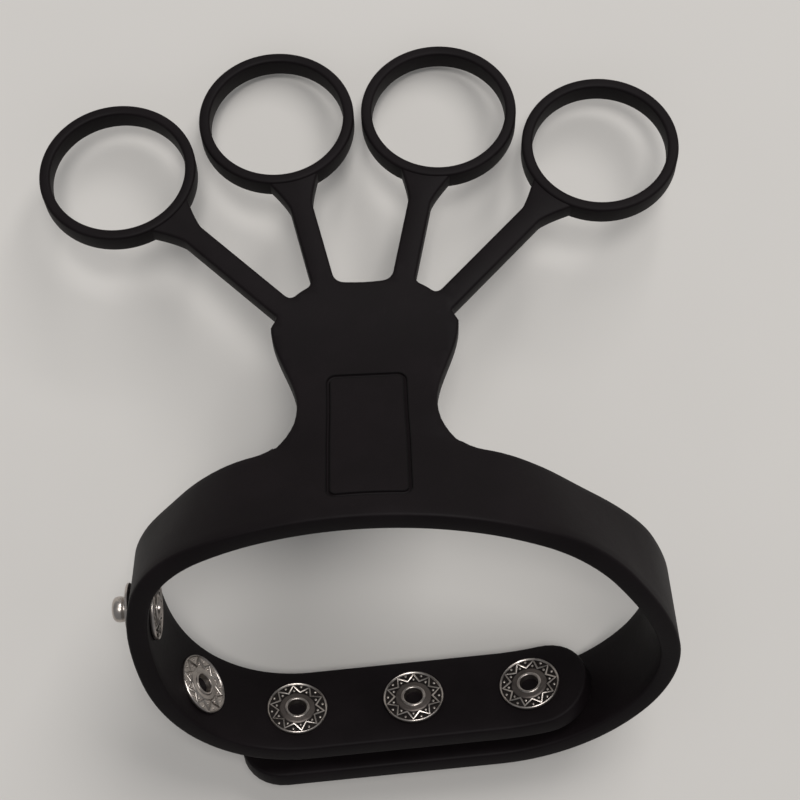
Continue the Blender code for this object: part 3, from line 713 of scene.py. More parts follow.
@dataclass
class Loop:
    """The flat silicone sheet, bent into the wrist loop and the pad."""

    width: float = 0.0145
    thick: float = 0.0030
    crown_radius: float = 0.0566
    crown_turn: float = 25.0
    shoulder_radius: float = 0.0211
    shoulder_turn: float = 40.0
    side_radius: float = 0.0380
    lower_radius: float = 0.0265
    end_slack: float = 0.0012
    shift: float = 0.0063
    twist: float = 3.3
    draw: float = 0.0026
    draw_length: float = 0.0320
    layer_gap: float = 0.0036
    stud_start: float = 0.0485
    stud_pitch: float = 0.0183
    end_margin: float = 0.0092
    last_stud: int = 4
    last_mated: int = 2
    peel_turn: float = 27.5
    flare_radius: float = 0.0060
    waist_half: float = 0.0099
    waist_at: float = 0.0065
    pad_half: float = 0.0136
    widest_at: float = 0.0205
    pad_length: float = 0.0285
    corner_drop: float = 0.0080
    corner_power: float = 3.4
    flatten: float = 0.0045
    bend: float = 0.0230
    tilt: float = 20.0
    ring_reach: float = 0.0566 + 0.0102 + 0.00165
    ring_height: float = 0.0058

    def __post_init__(self) -> None:
        """Work out the paths, the lean at rest and the place of the loop."""
        self.layer_pitch = self.thick + self.layer_gap
        self.inner_lower = self.lower_radius - self.layer_pitch
        turn = 90.0 - self.crown_turn - self.shoulder_turn
        upper = [
            (self.crown_radius, self.crown_turn),
            (self.shoulder_radius, self.shoulder_turn),
            (self.side_radius, turn),
        ]
        half_span, drop, _ = self.trace(upper, 0.0, math.inf)
        self.crown_height = self.lower_radius - drop + self.thick / 2.0
        self.upper_length = sum(r * math.radians(t) for r, t in upper)
        self.flat_length = 2.0 * half_span - self.lower_radius - self.inner_lower
        self.inner_flat_at = self.upper_length + self.inner_lower * math.pi / 2.0
        self.outer_flat_at = self.upper_length + self.lower_radius * math.pi / 2.0
        self.peel_at = self.outer_flat_at - self.lower_radius * math.radians(self.peel_turn)
        self.inner_length = self.stud_distance(self.last_stud) + self.end_margin
        self.outer_length = self.socket_distance(self.last_mated) + self.end_margin
        overhang = self.inner_length - self.inner_flat_at - self.flat_length
        bent = 1.0 / self.lower_radius - 2.0 * self.end_slack / overhang**2
        end_radius = 1.0 / max(bent, 0.1 / self.lower_radius)
        self.inner_path = upper + [
            (self.inner_lower, 90.0),
            (None, self.flat_length),
            (end_radius, 60.0),
        ]
        self.outer_path = upper + [(self.lower_radius, 90.0), (None, self.outer_flat_at)]
        y, z, slope = self.pad_axis(self.ring_reach)
        y += math.sin(slope) * self.ring_height / 2.0
        z -= math.cos(slope) * self.ring_height / 2.0
        self.lean = math.atan2(z, y)
        turned = Matrix.Rotation(-self.lean, 4, "X")
        hinge = next(j for j in frame["joints"] if j["name"] == "pad_flex")
        shift = Vector(hinge["pos_m"]) - turned @ self.pad_frame(self.waist_at).translation
        self.rest = Matrix.Translation(shift) @ turned

    @staticmethod
    def trace(path: Sequence[Run], top: float, distance: float) -> Triple:
        """Follow tangent arcs and straights down from the crown.

        Args:
            path: Pairs of (radius, degrees), or (None, length) for a straight.
            top: Height of the start.
            distance: How far to go along the path.

        Returns:
            The place across, the height and the heading there.
        """
        x, z, heading = 0.0, top, 0.0
        for radius, amount in path:
            length = amount if radius is None else radius * math.radians(amount)
            run = min(length, distance)
            if radius is None:
                x += math.cos(heading) * run
                z -= math.sin(heading) * run
            else:
                turned = heading + run / radius
                x += radius * (math.sin(turned) - math.sin(heading))
                z += radius * (math.cos(turned) - math.cos(heading))
                heading = turned
            distance -= run
            if distance <= 0.0:
                break
        return x, z, heading

    def stud_distance(self, index: int) -> float:
        """Place of a stud along the inner strap."""
        return self.stud_start + index * self.stud_pitch

    def socket_distance(self, index: int) -> float:
        """Place along the outer strap of the socket under a stud."""
        past = self.stud_distance(index) - self.inner_flat_at
        return self.outer_flat_at + self.flat_length - past

    def pad_axis(self, along: float) -> Triple:
        """Middle line of the pad: place along the hand, height and slope."""
        if along <= 0.0:
            return along, self.crown_height, 0.0
        full = math.radians(self.tilt)
        radius = self.bend / full
        angle = min(along / radius, full)
        rest = max(along - self.bend, 0.0)
        y = radius * math.sin(angle) + rest * math.cos(full)
        z = self.crown_height + radius * (1.0 - math.cos(angle)) + rest * math.sin(full)
        return y, z, angle

    def pad_frame(self, along: float) -> Matrix:
        """Frame of the pad at a place along it, X across."""
        y, z, slope = self.pad_axis(along)
        return Matrix.Translation((0.0, y, z)) @ Matrix.Rotation(slope, 4, "X")

    def settle(self, point: Vector) -> Vector:
        """Shift and twist the lower part of the loop."""
        low = 1.0 - smooth((point.z - self.crown_height / 4.0) / (self.crown_height / 2.0))
        slide = math.tan(math.radians(self.twist)) * point.x * low
        aside = 1.0 - smooth((point.z - 0.2 * self.crown_height) / (0.75 * self.crown_height))
        return Vector((
            point.x + self.shift * aside,
            point.y + slide * math.cos(self.lean),
            point.z + slide * math.sin(self.lean),
        ))

    def drawn(self, distance: float) -> float:
        """How far the pad-side edge is drawn in at the shoulders."""
        share = (distance - self.waist_half - self.flare_radius) / self.draw_length
        return self.draw * math.sin(math.pi * min(max(share, 0.0), 1.0)) ** 2

    def strap(self, side: Side, distance: float, along: float, off: float = 0.0) -> Vector:
        """Point of a strap in the row frame, off its middle surface outwards."""
        path = self.inner_path if side is Side.LEFT else self.outer_path
        x, z, heading = self.trace(path, self.crown_height, distance)
        off -= self.drawn(distance) * (1.0 + along / self.width)
        x += off * math.sin(heading)
        z += off * math.cos(heading)
        return self.rest @ self.settle(Vector((side.value * x, along, z)))

    def pad(self, across: float, along: float, off: float = 0.0) -> Vector:
        """Point of the pad in the row frame."""
        y, z, slope = self.pad_axis(along)
        curve = max(1.0 - max(along, 0.0) / self.flatten, 0.0) / self.crown_radius
        x, lift = across, off
        if curve > 1e-6:
            angle = across * curve
            x = math.sin(angle) / curve + off * math.sin(angle)
            lift = (math.cos(angle) - 1.0) / curve + off * math.cos(angle)
        return self.rest @ Vector((x, y - math.sin(slope) * lift, z + math.cos(slope) * lift))

    def sheet(self, flat: Vector) -> Vector:
        """Point of the sheet for a flat place, with Z off its middle surface."""
        if flat.y > 0.0:
            return self.pad(flat.x, flat.y, flat.z)
        side = Side.LEFT if flat.x < 0.0 else Side.RIGHT
        return self.strap(side, abs(flat.x), flat.y, flat.z)

    def snap_frame(self, side: Side, distance: float) -> Matrix:
        """Frame of a snap: run of the strap, along the hand, outwards."""
        middle = -self.width / 2.0
        tiny = 1e-5
        centre = self.strap(side, distance, middle)
        along = (self.strap(side, distance, middle + tiny) - centre).normalized()
        out = self.strap(side, distance, middle, tiny) - centre
        run = self.strap(side, distance + tiny, middle) - centre
        normal = run.cross(along)
        normal = (normal if normal.dot(out) > 0.0 else -normal).normalized()
        run = along.cross(normal).normalized()
        turn = Matrix((run, along, normal)).transposed().to_4x4()
        return Matrix.Translation(centre) @ turn

    def flare(self, along: float) -> float:
        """Half width of the stub where it leaves the crown."""
        if along >= self.flare_radius:
            return self.waist_half
        inset = self.flare_radius - along
        round_in = math.sqrt(self.flare_radius**2 - inset**2)
        return self.waist_half + self.flare_radius - round_in

    def pad_side(self, along: float) -> float:
        """Half width of the pad."""
        share = (along - self.waist_at) / (self.widest_at - self.waist_at)
        return self.waist_half + (self.pad_half - self.waist_half) * smooth(share)

    def pad_end(self, across: float) -> float:
        """Front edge of the pad."""
        share = abs(across) / self.pad_half
        return self.pad_length - self.corner_drop * share**self.corner_power


class Edge:
    """Open outline that is walked by length."""

    def __init__(self, points: Sequence[Vector]) -> None:
        """Keep the points and how far along the outline each lies."""
        self.points = list(points)
        self.marks = [0.0]
        for first, second in zip(self.points, self.points[1:]):
            self.marks.append(self.marks[-1] + (second - first).length)
        self.length = self.marks[-1]

    def at(self, where: float) -> Vector:
        """Point at a length along the outline."""
        for k in range(1, len(self.points)):
            if where <= self.marks[k]:
                step = max(self.marks[k] - self.marks[k - 1], 1e-12)
                share = (where - self.marks[k - 1]) / step
                return self.points[k - 1].lerp(self.points[k], share)
        return self.points[-1]

    def between(self, start: float, end: float) -> list[Vector]:
        """Points of the outline from one length to another, without the ends."""
        low, high = start - 1e-9, end - 1e-5
        return [p for p, mark in zip(self.points, self.marks) if low <= mark < high]

    def crossing(self, spot: Vector, way: Vector) -> tuple[float, Vector]:
        """Where a line leaves the outline.

        Args:
            spot: A point of the line.
            way: Its direction.

        Returns:
            Of the crossing furthest along the way, its length along the outline and its point.
        """
        across = Vector((way.y, -way.x))
        found: list[tuple[float, float, Vector]] = []
        for k in range(1, len(self.points)):
            first = (self.points[k - 1] - spot).dot(across)
            second = (self.points[k] - spot).dot(across)
            if first * second <= 0.0 and first != second:
                share = first / (first - second)
                point = self.points[k - 1].lerp(self.points[k], share)
                mark = self.marks[k - 1] + share * (self.marks[k] - self.marks[k - 1])
                found.append(((point - spot).dot(way), mark, point))
        _, where, point = max(found, key=lambda item: item[0])
        return where, point

    @staticmethod
    def corner(first: Vector, turn: Vector, last: Vector) -> list[Vector]:
        """Rounded corner from one point to another, drawn towards a turning point."""
        points = []
        for k in range(8):
            u = k / 7.0
            pull = turn * 2.0 * u * (1.0 - u)
            points.append(first * (1.0 - u) ** 2 + pull + last * u**2)
        return points


# ---------------------------------------------------------------- sub-assemblies


@dataclass
class Sheet:
    """Band, pad and outer strap: one moulding that bends at its flex lines."""

    loop: Loop
    fingers: Sequence["Finger"]
    panel: PanelFrame
    edge: float = 0.00045
    cell: float = 0.0013
    overlap: float = 0.0100
    spare: float = 0.0020
    sag: Pair = (0.0006, 0.0011)
    sag_end: float = 0.0480
    dip: float = 0.0010
    dip_half: float = 0.0110
    trim_reach: float = 0.0045
    least_gap: float = 0.00012
    merge: float = 2e-6
    waist_blend: float = 0.0058
    peel_blend: float = 0.0080
    pieces: list[bpy.types.Object] = field(default_factory=list)

    def front_edge(self, across: float) -> float:
        """Front edge of the straps, which sags a little beside the waist."""
        start = self.loop.waist_half + self.loop.flare_radius
        share = (abs(across) - start) / (self.sag_end - start)
        return -self.sag[int(across > 0.0)] * (1.0 - smooth(share))

    def round_end(self, start: float, reach: float) -> list[Pair]:
        """Half-round strap end, from the rear edge to the front one.

        Args:
            start: Where the straight edges stop.
            reach: The end of the strap; its sign gives the side.

        Returns:
            Flat outline points, from y = -width to y = 0.
        """
        radius = self.loop.width / 2.0
        points = []
        for k in range(19):
            angle = math.pi * (k / 18.0 - 0.5)
            along = start + math.copysign(radius * math.cos(angle), reach)
            points.append((along, radius * math.sin(angle) - radius))
        return points

    def stub(self) -> list[Pair]:
        """Right half outline of the waist and pad, from the crown to the front's middle."""
        loop = self.loop
        points = []
        for k in range(9):
            angle = math.pi / 2.0 * k / 9.0
            along = loop.flare_radius * (1.0 - math.cos(angle))
            points.append((loop.flare(along), along))
        for k in range(19):
            along = loop.flare_radius + (loop.widest_at - loop.flare_radius) * k / 18.0
            points.append((loop.pad_side(along), along))
        for k in range(1, 41):
            across = loop.pad_half * math.cos(math.pi / 2.0 * k / 40.0)
            dip = self.dip * (1.0 - smooth(across / self.dip_half))
            points.append((max(across, 0.0), loop.pad_end(across) - dip))
        return points

    def pad_outline(self) -> list[Pair]:
        """Waist and pad with the filleted roots of the arms, from right to left."""
        half = self.stub()
        full = half + [(-x, y) for x, y in reversed(half[:-1])]
        sagged = []
        for x, y in full:
            share = max(1.0 - y / self.loop.flare_radius, 0.0)
            sagged.append(Vector((x, y - self.sag[int(x > 0.0)] * share)))
        edge = Edge(sagged)
        points: list[Vector] = []
        done = 0.0
        for finger in reversed(self.fingers):
            start, way = finger.start, finger.way
            across = Vector((way.y, -way.x))
            half_arm = across * finger.arm_width / 2.0
            near, far = finger.fillets
            first, right = edge.crossing(start + half_arm, way)
            second, left = edge.crossing(start - half_arm, way)
            points += edge.between(done, first - near)
            points += Edge.corner(edge.at(first - near), right, right + way * near)
            tip = start + way * (finger.cut + self.spare)
            points += [tip + half_arm, tip - half_arm]
            points += Edge.corner(left + way * far, left, edge.at(second + far))
            done = second + far
        points += edge.between(done, edge.length) + [edge.points[-1]]
        kept = points[:1]
        for point in points[1:]:
            if (point - kept[-1]).length > self.least_gap:
                kept.append(point)
        return [(p.x, p.y) for p in kept]

    def bend(self, piece: bpy.types.Object, places: Sequence[float], rows: Sequence[float]) -> None:
        """Cut a flat outline into small cells, wrap it round the loop and thicken it.

        Args:
            piece: The flat outline with its rounded rim.
            places: Cuts across the strap.
            rows: Cuts along it.
        """
        Bench.slice(piece, 0, places)
        Bench.slice(piece, 1, rows)
        for finger in self.fingers:
            spot = finger.start + finger.way * finger.cut
            Bench.trim(piece, spot, finger.way, self.trim_reach)
        Bench.keep_flat_map(piece)
        Bench.wrap(piece, self.loop.sheet)
        Bench.thicken(piece, self.loop.thick)
        Bench.soften(piece, 50.0)

    def engrave(self, piece: bpy.types.Object) -> None:
        """Cut the panel's outline into the outer face as a round groove.

        Args:
            piece: The bent sheet.
        """
        height = self.loop.thick / 2.0 - self.panel.sunk
        points = [self.loop.sheet(Vector((x, y, height))) for x, y in self.panel.outline()]
        cutter = Bench.tube("groove", points, self.panel.line)
        Bench.apply(piece, "BOOLEAN", operation="DIFFERENCE", solver="EXACT", object=cutter)
        bpy.data.objects.remove(cutter)
        Bench.edit(piece)
        bpy.ops.mesh.remove_doubles(threshold=self.merge)
        bpy.ops.mesh.dissolve_degenerate(threshold=self.merge)
        bpy.ops.mesh.select_all(action="SELECT")
        bpy.ops.mesh.quads_convert_to_tris(quad_method="BEAUTY", ngon_method="BEAUTY")
        bpy.ops.object.mode_set(mode="OBJECT")
        Bench.soften(piece, 40.0)

    def stations(self, start: float, end: float) -> list[float]:
        """Even cuts between two places, about one cell apart."""
        count = max(int(abs(end - start) / self.cell), 1)
        return [start + (end - start) * (k + 0.5) / count for k in range(count)]

    def build(self) -> None:
        """Model the band with the pad, and the outer strap."""
        loop = self.loop
        split = loop.peel_at - self.overlap
        left = self.round_end(-(loop.inner_length - loop.width / 2.0), -1.0)
        outline = [(split + self.spare, -loop.width), (split + self.spare, 0.0)]
        start = loop.waist_half + loop.flare_radius
        places = [self.sag_end + (start - self.sag_end) * k / 16.0 for k in range(16)]
        outline += [(x, self.front_edge(x)) for x in places] + self.pad_outline()
        outline += [(-x, self.front_edge(-x)) for x in reversed(places)] + list(reversed(left))
        band = Bench.outline("band_and_pad", outline)
        Bench.rounded_rim(band, self.edge, loop.thick)
        Bench.slice(band, 0, [split], keep="below")
        strap_rows = self.stations(-loop.width, 0.0)[1:-1:2]
        pad_rows = self.stations(0.0, loop.pad_length + 0.003)
        rows = strap_rows + [0.0] + pad_rows
        self.bend(band, self.stations(-loop.inner_length, split), rows)
        self.engrave(band)
        tail = self.round_end(loop.outer_length - loop.width / 2.0, 1.0)
        square = [(split - self.spare, 0.0), (split - self.spare, -loop.width)]
        strap = Bench.outline("outer_strap_skin", square + tail)
        Bench.rounded_rim(strap, self.edge, loop.thick)
        Bench.slice(strap, 0, [split], keep="above")
        self.bend(strap, self.stations(split, loop.outer_length), strap_rows)
        self.pieces = [band, strap]

    def dress(self, panelled: bpy.types.Material, plain: bpy.types.Material) -> None:
        """Finish the skins, bake their places and hide the frame's parts they replace.

        Args:
            panelled: Silicone with painted shade along the panel's outline.
            plain: Silicone without it.
        """
        loop = self.loop
        band, strap = self.pieces
        Bench.dress(band, panelled, Slot.SILICONE)
        Bench.dress(strap, plain, Slot.SILICONE)
        tuple(loop.pad(0.0, loop.waist_at - self.waist_blend))
        tuple(loop.pad(0.0, loop.waist_at + self.waist_blend))
        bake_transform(band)
        middle = -loop.width / 2.0
        tuple(loop.strap(Side.RIGHT, loop.peel_at - self.peel_blend, middle))
        tuple(loop.strap(Side.RIGHT, loop.peel_at + self.peel_blend, middle))
        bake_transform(strap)
        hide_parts("wrist_band", "hand_pad")
        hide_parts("outer_strap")


@dataclass
class Finger:
    """One stretch arm with its ring."""

    loop: Loop
    number: int
    root_x: float
    ring_x: float
    ring_y: float
    fillets: Pair
    arm_width: float = 0.0034
    arm_thick: float = 0.0030
    setback: float = 0.0012
    cut: float = 0.0036
    edge: float = 0.00045
    bore: float = 0.0102
    wall: float = 0.00165
    ring_height: float = 0.0036
    gusset: float = 0.0044
    gusset_angle: float = 23.0
    gusset_power: float = 1.3
    split_before: float = 0.0042
    spare: float = 0.0020
    cell: float = 0.0009
    fold_start: float = 0.0040
    fold_end: float = 0.0026
    pieces: list[bpy.types.Object] = field(default_factory=list)

    def __post_init__(self) -> None:
        """Work out the arm's line in the plane of the fingers."""
        loop = self.loop
        self.start = Vector((self.root_x, loop.pad_end(self.root_x) - self.setback))
        way = Vector((self.ring_x, self.ring_y)) - self.start
        self.reach = way.length
        self.way = way.normalized()
        self.outer = self.bore + self.wall
        self.neck = self.reach - self.outer - self.gusset
        self.middle = self.neck - self.split_before
        heading = math.atan2(-way.x, way.y)
        plane = loop.rest @ loop.pad_frame(loop.pad_length)
        place = Matrix.Translation((self.start.x, self.start.y - loop.pad_length, 0.0))
        self.frame = plane @ place @ Matrix.Rotation(heading, 4, "Z")

    def at(self, along: float) -> tuple[float, ...]:
        """Point on the arm's middle line in the row frame."""
        return tuple(self.frame @ Vector((0.0, along, 0.0)))

    def strip(self, name: str, stops: Sequence[float], cuts: dict[str, float]) -> bpy.types.Object:
        """Flat strip with the arm's width, cut square where it meets its neighbour.

        Args:
            name: Name of the piece.
            stops: Places along the arm where the outline has points.
            cuts: Where the square cuts stand, by the side that stays.

        Returns:
            The thickened strip in the arm's frame.
        """
        right = [(self.neck_half(y), y) for y in stops]
        piece = Bench.outline(name, right + [(-x, y) for x, y in reversed(right)])
        Bench.rounded_rim(piece, self.edge, self.arm_thick)
        for keep, cut in cuts.items():
            Bench.slice(piece, 1, [cut], keep=keep)
        length = stops[-1] - stops[0]
        count = int(length / self.cell)
        Bench.slice(piece, 1, [stops[0] + length * k / count for k in range(1, count)])
        Bench.slice(piece, 0, [0.0])
        Bench.thicken(piece, self.arm_thick)
        return piece

    def neck_half(self, along: float) -> float:
        """Half width of the arm and of the gusset that spreads into the ring."""
        spread = math.radians(self.gusset_angle)
        root = self.outer - self.wall / 2.0
        full = self.reach - root * math.cos(spread) - self.neck
        share = min(max((along - self.neck) / full, 0.0), 1.0)
        half = self.arm_width / 2.0
        return half + (root * math.sin(spread) - half) * share**self.gusset_power

    def ring_profile(self) -> list[Pair]:
        """Rounded section of the ring, down the outer side first."""
        soft = self.edge
        high = self.ring_height / 2.0 - soft
        outer, inner = self.outer - soft, self.bore + soft
        corners = ((outer, high, 90), (outer, -high, 0), (inner, -high, -90), (inner, high, 180))
        points: list[Pair] = []
        for x, z, first in corners:
            for k in range(5):
                angle = math.radians(first - 22.5 * k)
                points.append((x + soft * math.cos(angle), z + soft * math.sin(angle)))
        return points

    def build(self) -> None:
        """Model the root half of the arm, and the half with the gusset and ring."""
        middle, spare = self.middle, self.spare
        ends = [self.cut - spare, middle + spare]
        root = self.strip("arm_root_%d" % self.number, ends, {"above": self.cut, "below": middle})
        spread = math.radians(self.gusset_angle)
        length = self.reach - (self.outer - self.wall / 2.0) * math.cos(spread) - self.neck
        stops = [middle - spare, middle] + [self.neck + length * k / 16.0 for k in range(17)]
        gusset = self.strip("ring_%d" % self.number, stops, {"above": middle})
        ring = Bench.turned("ring_body_%d" % self.number, self.ring_profile(), 96, True)
        Bench.wrap(ring, lambda p: p + Vector((0.0, self.reach, 0.0)))
        tongue = Bench.join([gusset, ring])
        for piece in (root, tongue):
            Bench.wrap(piece, lambda p: self.frame @ p)
            Bench.soften(piece, 40.0)
        self.pieces = [root, tongue]

    def dress(self, silicone: bpy.types.Material) -> None:
        """Finish both halves, bake their places and hide the frame's parts they replace."""
        root, tongue = self.pieces
        arm, ring = "arm_%d" % self.number, "finger_ring_%d" % self.number
        for piece in self.pieces:
            Bench.dress(piece, silicone, Slot.SILICONE)
        self.at(self.cut)
        self.at(self.middle - 0.0002)
        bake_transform(root)
        self.at(self.neck - self.fold_start)
        self.at(self.neck + self.fold_end)
        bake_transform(tongue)
        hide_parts(arm)
        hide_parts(ring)


@dataclass
class Snaps:
    """Press studs on the inner strap, and sockets and caps on the outer one."""

    loop: Loop
    flange_radius: float = 0.0050
    flange: float = 0.0005
    roll_radius: float = 0.00190
    barrel: float = 0.0014
    bore: float = 0.0011
    gap: float = 0.0003
    # Painted reflection: the eyelet at this index stays bright plate all over, for the bright floor
    # it reflects.
    painted_reflection_eyelet: int = 1
    eyelet_radius: float = 0.0047
    collar: float = 0.00276
    recess: float = 0.00020
    recess_span: Pair = (0.0028, 0.0044)
    eye_roll: float = 0.00022
    points: int = 10
    star_in: float = 0.00292
    star_out: float = 0.00422
    star_wire: float = 0.00027
    star_rise: float = 0.00008
    dot_reach: Pair = (0.00322, 0.00396)
    dot_radius: float = 0.00022
    stud_flange: float = 0.0038
    neck: float = 0.00165
    neck_height: float = 0.00035
    ball: float = 0.0019
    blunt: float = 0.66
    stud_height: float = 0.0029
    stud_wall: float = 0.00035
    socket_radius: float = 0.0048
    socket_height: float = 0.0023
    lip: float = 0.0005
    spring_wire: float = 0.00025
    cap_height: float = 0.0012
    mated: tuple[int, ...] = (2, 3)
    count: int = 5
    first_spin: float = 0.37
    next_spin: float = 0.83
    pieces: dict[str, bpy.types.Object] = field(default_factory=dict)

    def eyelet(self) -> bpy.types.Object:
        """Pressed flange with rim, star of ribs, collar and rolled eye, faced towards -Z."""
        face = -self.loop.thick / 2.0
        back = face - self.gap - self.flange
        tip = self.loop.thick / 2.0 + self.gap + self.flange + self.stud_wall
        floor = back + self.recess
        rim, roll = self.eyelet_radius, self.eye_roll
        profile: list[Pair] = [
            (self.barrel, tip),
            (self.barrel, face - 0.0001),
            (rim - 0.00035, face - 0.0001),
            (rim - 0.00008, face - 0.00022),
            (rim, back + 0.00024),
            (rim - 0.00007, back + 0.00006),
            (rim - 0.00017, back),
            (rim - 0.00028, back + 0.00005),
            (rim - 0.00038, floor),
            (self.collar, floor + 0.00002),
            (0.00265, back + 0.00012),
            (0.00250, back + 0.00006),
            (self.roll_radius + 0.00006, back + 0.00010),
        ]
        for k in range(9):
            angle = math.radians(-10.0 + 200.0 * k / 8.0)
            wide = self.roll_radius - roll + roll * math.cos(angle)
            profile.append((wide, back - roll * 0.8 * math.sin(angle) + 0.00004))
        profile += [
            (self.roll_radius - 2.0 * roll - 0.00006, back + 0.0004),
            (self.bore, back + 0.0014),
            (self.bore, tip),
        ]
        body = Bench.turned("eyelet", profile, 64, True)
        Bench.soften(body, 40.0)
        return Bench.join([body, self.star(floor), *self.dots(floor)])

    def star(self, floor: float) -> bpy.types.Object:
        """Raised zig-zag rib round the flange."""
        points = []
        for k in range(2 * self.points):
            reach = self.star_in if k % 2 else self.star_out
            angle = math.pi * k / self.points
            spot = (reach * math.cos(angle), reach * math.sin(angle), floor + self.star_rise)
            points.append(Vector(spot))
        star = Bench.tube("star", points, self.star_wire)
        Bench.soften(star, 60.0)
        return star

    def dots(self, floor: float) -> list[bpy.types.Object]:
        """Small raised dots inside and outside the points of the star."""
        made = []
        for k in range(2 * self.points):
            angle = math.pi * k / self.points
            reach = self.dot_reach[k % 2]
            Bench.clear()
            bpy.ops.mesh.primitive_uv_sphere_add(segments=12, ring_count=8, radius=self.dot_radius)
            dot = bpy.context.object
            Bench.edit(dot)
            bpy.ops.transform.resize(value=(1.0, 1.0, 0.8))
            spot = (reach * math.cos(angle), reach * math.sin(angle), floor)
            bpy.ops.transform.translate(value=spot)
            bpy.ops.object.mode_set(mode="OBJECT")
            Bench.soften(dot, 60.0)
            made.append(dot)
        return made

    def stud(self) -> bpy.types.Object:
        """Drawn stud with its base flange, neck and ball, on the outer face."""
        base = self.loop.thick / 2.0 + self.gap / 2.0
        flange = base + self.flange
        top = self.loop.thick / 2.0 + self.stud_height
        bore = self.barrel + self.gap / 2.0
        under = math.acos(self.neck / self.ball)
        tall = (top - flange - self.neck_height) / (1.0 + math.sin(under))
        profile: list[Pair] = [(0.0, top)]
        first = math.radians(86.0)
        for k in range(12):
            angle = first - (first + under) * k / 11.0
            blunt = self.blunt if angle > 0.0 else 1.0
            rise = math.copysign(abs(math.sin(angle)) ** blunt, angle)
            profile.append((self.ball * math.cos(angle) ** blunt, top - tall + tall * rise))
        profile += [
            (self.neck, flange + 0.00022),
            (self.neck + 0.00008, flange + 0.00008),
            (self.neck + 0.00028, flange),
            (self.stud_flange - 0.00040, flange),
            (self.stud_flange - 0.00012, flange - 0.00005),
            (self.stud_flange, flange - 0.00020),
            (self.stud_flange, base + 0.00010),
            (self.stud_flange - 0.00010, base),
            (bore, base),
            (bore, flange + self.stud_wall + self.gap),
            (0.0, flange + self.stud_wall + 2.0 * self.gap),
        ]
        stud = Bench.turned("stud", profile, 48, False)
        Bench.soften(stud, 40.0)
        return stud

    def socket(self) -> bpy.types.Object:
        """Socket body on the outer strap, open to the stud."""
        base = -self.loop.thick / 2.0 - self.gap / 2.0
        mouth = base - self.socket_height
        throat = self.ball + self.gap
        groove = throat + 2.0 * self.spring_wire + self.gap
        post = self.barrel + self.gap / 2.0
        high = mouth + self.lip + 2.0 * self.spring_wire + self.gap
        rim = self.socket_radius
        profile: list[Pair] = [
            (post, base),
            (rim - 0.00012, base),
            (rim, base - 0.00014),
            (rim, base - 0.00036),
            (rim - 0.00014, base - self.lip),
            (rim - self.lip + 0.00012, base - 1.5 * self.lip),
            (rim - self.lip, base - 2.0 * self.lip),
            (rim - self.lip, mouth + self.lip),
            (rim - self.lip - 0.00016, mouth + 0.00018),
            (rim - 2.0 * self.lip, mouth),
            (throat + self.lip / 2.0, mouth),
            (throat, mouth + self.lip / 2.0),
            (throat, mouth + self.lip),
            (groove, mouth + self.lip),
            (groove, high),
            (throat, high),
            (throat, base - self.lip),
            (post, base - self.lip),
        ]
        socket = Bench.turned("socket", profile, 48, True)
        Bench.soften(socket, 40.0)
        return socket

    def cap(self) -> bpy.types.Object:
        """Domed cap with a hollow post through the strap."""
        face = self.loop.thick / 2.0 + self.gap / 2.0
        tip = -self.loop.thick / 2.0 - self.gap / 2.0 - self.lip / 2.0
        crown = face + self.cap_height
        profile: list[Pair] = [(0.0, crown)]
        for k in range(1, 11):
            share = k / 10.0
            fall = 0.72 * self.cap_height * share**2.6
            profile.append((self.flange_radius * share, crown - fall))
        profile += [
            (self.flange_radius - 0.00008, face + 0.00014),
            (self.flange_radius - 0.00030, face),
            (self.barrel, face),
            (self.barrel, tip),
            (self.bore, tip),
            (self.bore, face + self.gap),
            (0.0, face + self.gap),
        ]
        cap = Bench.turned("cap", profile, 64, False)
        Bench.soften(cap, 40.0)
        return cap

    def build(self) -> None:
        """Model each kind once and set its copies on the straps."""
        kinds = {
            "eyelet": self.eyelet(),
            "stud": self.stud(),
            "socket": self.socket(),
            "cap": self.cap(),
        }
        for kind, pattern in kinds.items():
            lower = kind in ("socket", "cap")
            for index in self.mated if lower else range(self.count):
                side = Side.RIGHT if lower else Side.LEFT
                measure = self.loop.socket_distance if lower else self.loop.stud_distance
                spun = Matrix.Rotation(self.first_spin + self.next_spin * index, 4, "Z")
                place = self.loop.snap_frame(side, measure(index)) @ spun
                name = "%s_%d" % (kind, index + 1)
                piece = Bench.copy(pattern, name + "_plated")
                Bench.wrap(piece, lambda p: place @ p)
                self.pieces[name] = piece
            bpy.data.objects.remove(pattern)

    def dress(
        self, plate: bpy.types.Material, dull: bpy.types.Material, dark: bpy.types.Material
    ) -> None:
        """Finish the metal and hang it on its bodies.

        Args:
            plate: Bright plating.
            dull: Worn plating for the flange's collar.
            dark: Blackened plating with painted shade, for the flange's recess.
        """
        for name, piece in self.pieces.items():
            Bench.dress(piece, plate, Slot.METAL)
            index = int(name[-1]) - 1
            # Painted reflection: one eyelet is left all bright plate; the others get a darker
            # collar and floor.
            if name.startswith("eyelet") and index != self.painted_reflection_eyelet:
                self.darken(piece, index, dull, dark)
            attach(piece, "outer_strap" if name.startswith(("socket", "cap")) else "wrist_band")
            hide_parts(name)
        for index in self.mated:
            spring = frame["nodes"]["spring_%d" % (index + 1)]
            spring.data.materials.clear()
            spring.data.materials.append(plate)

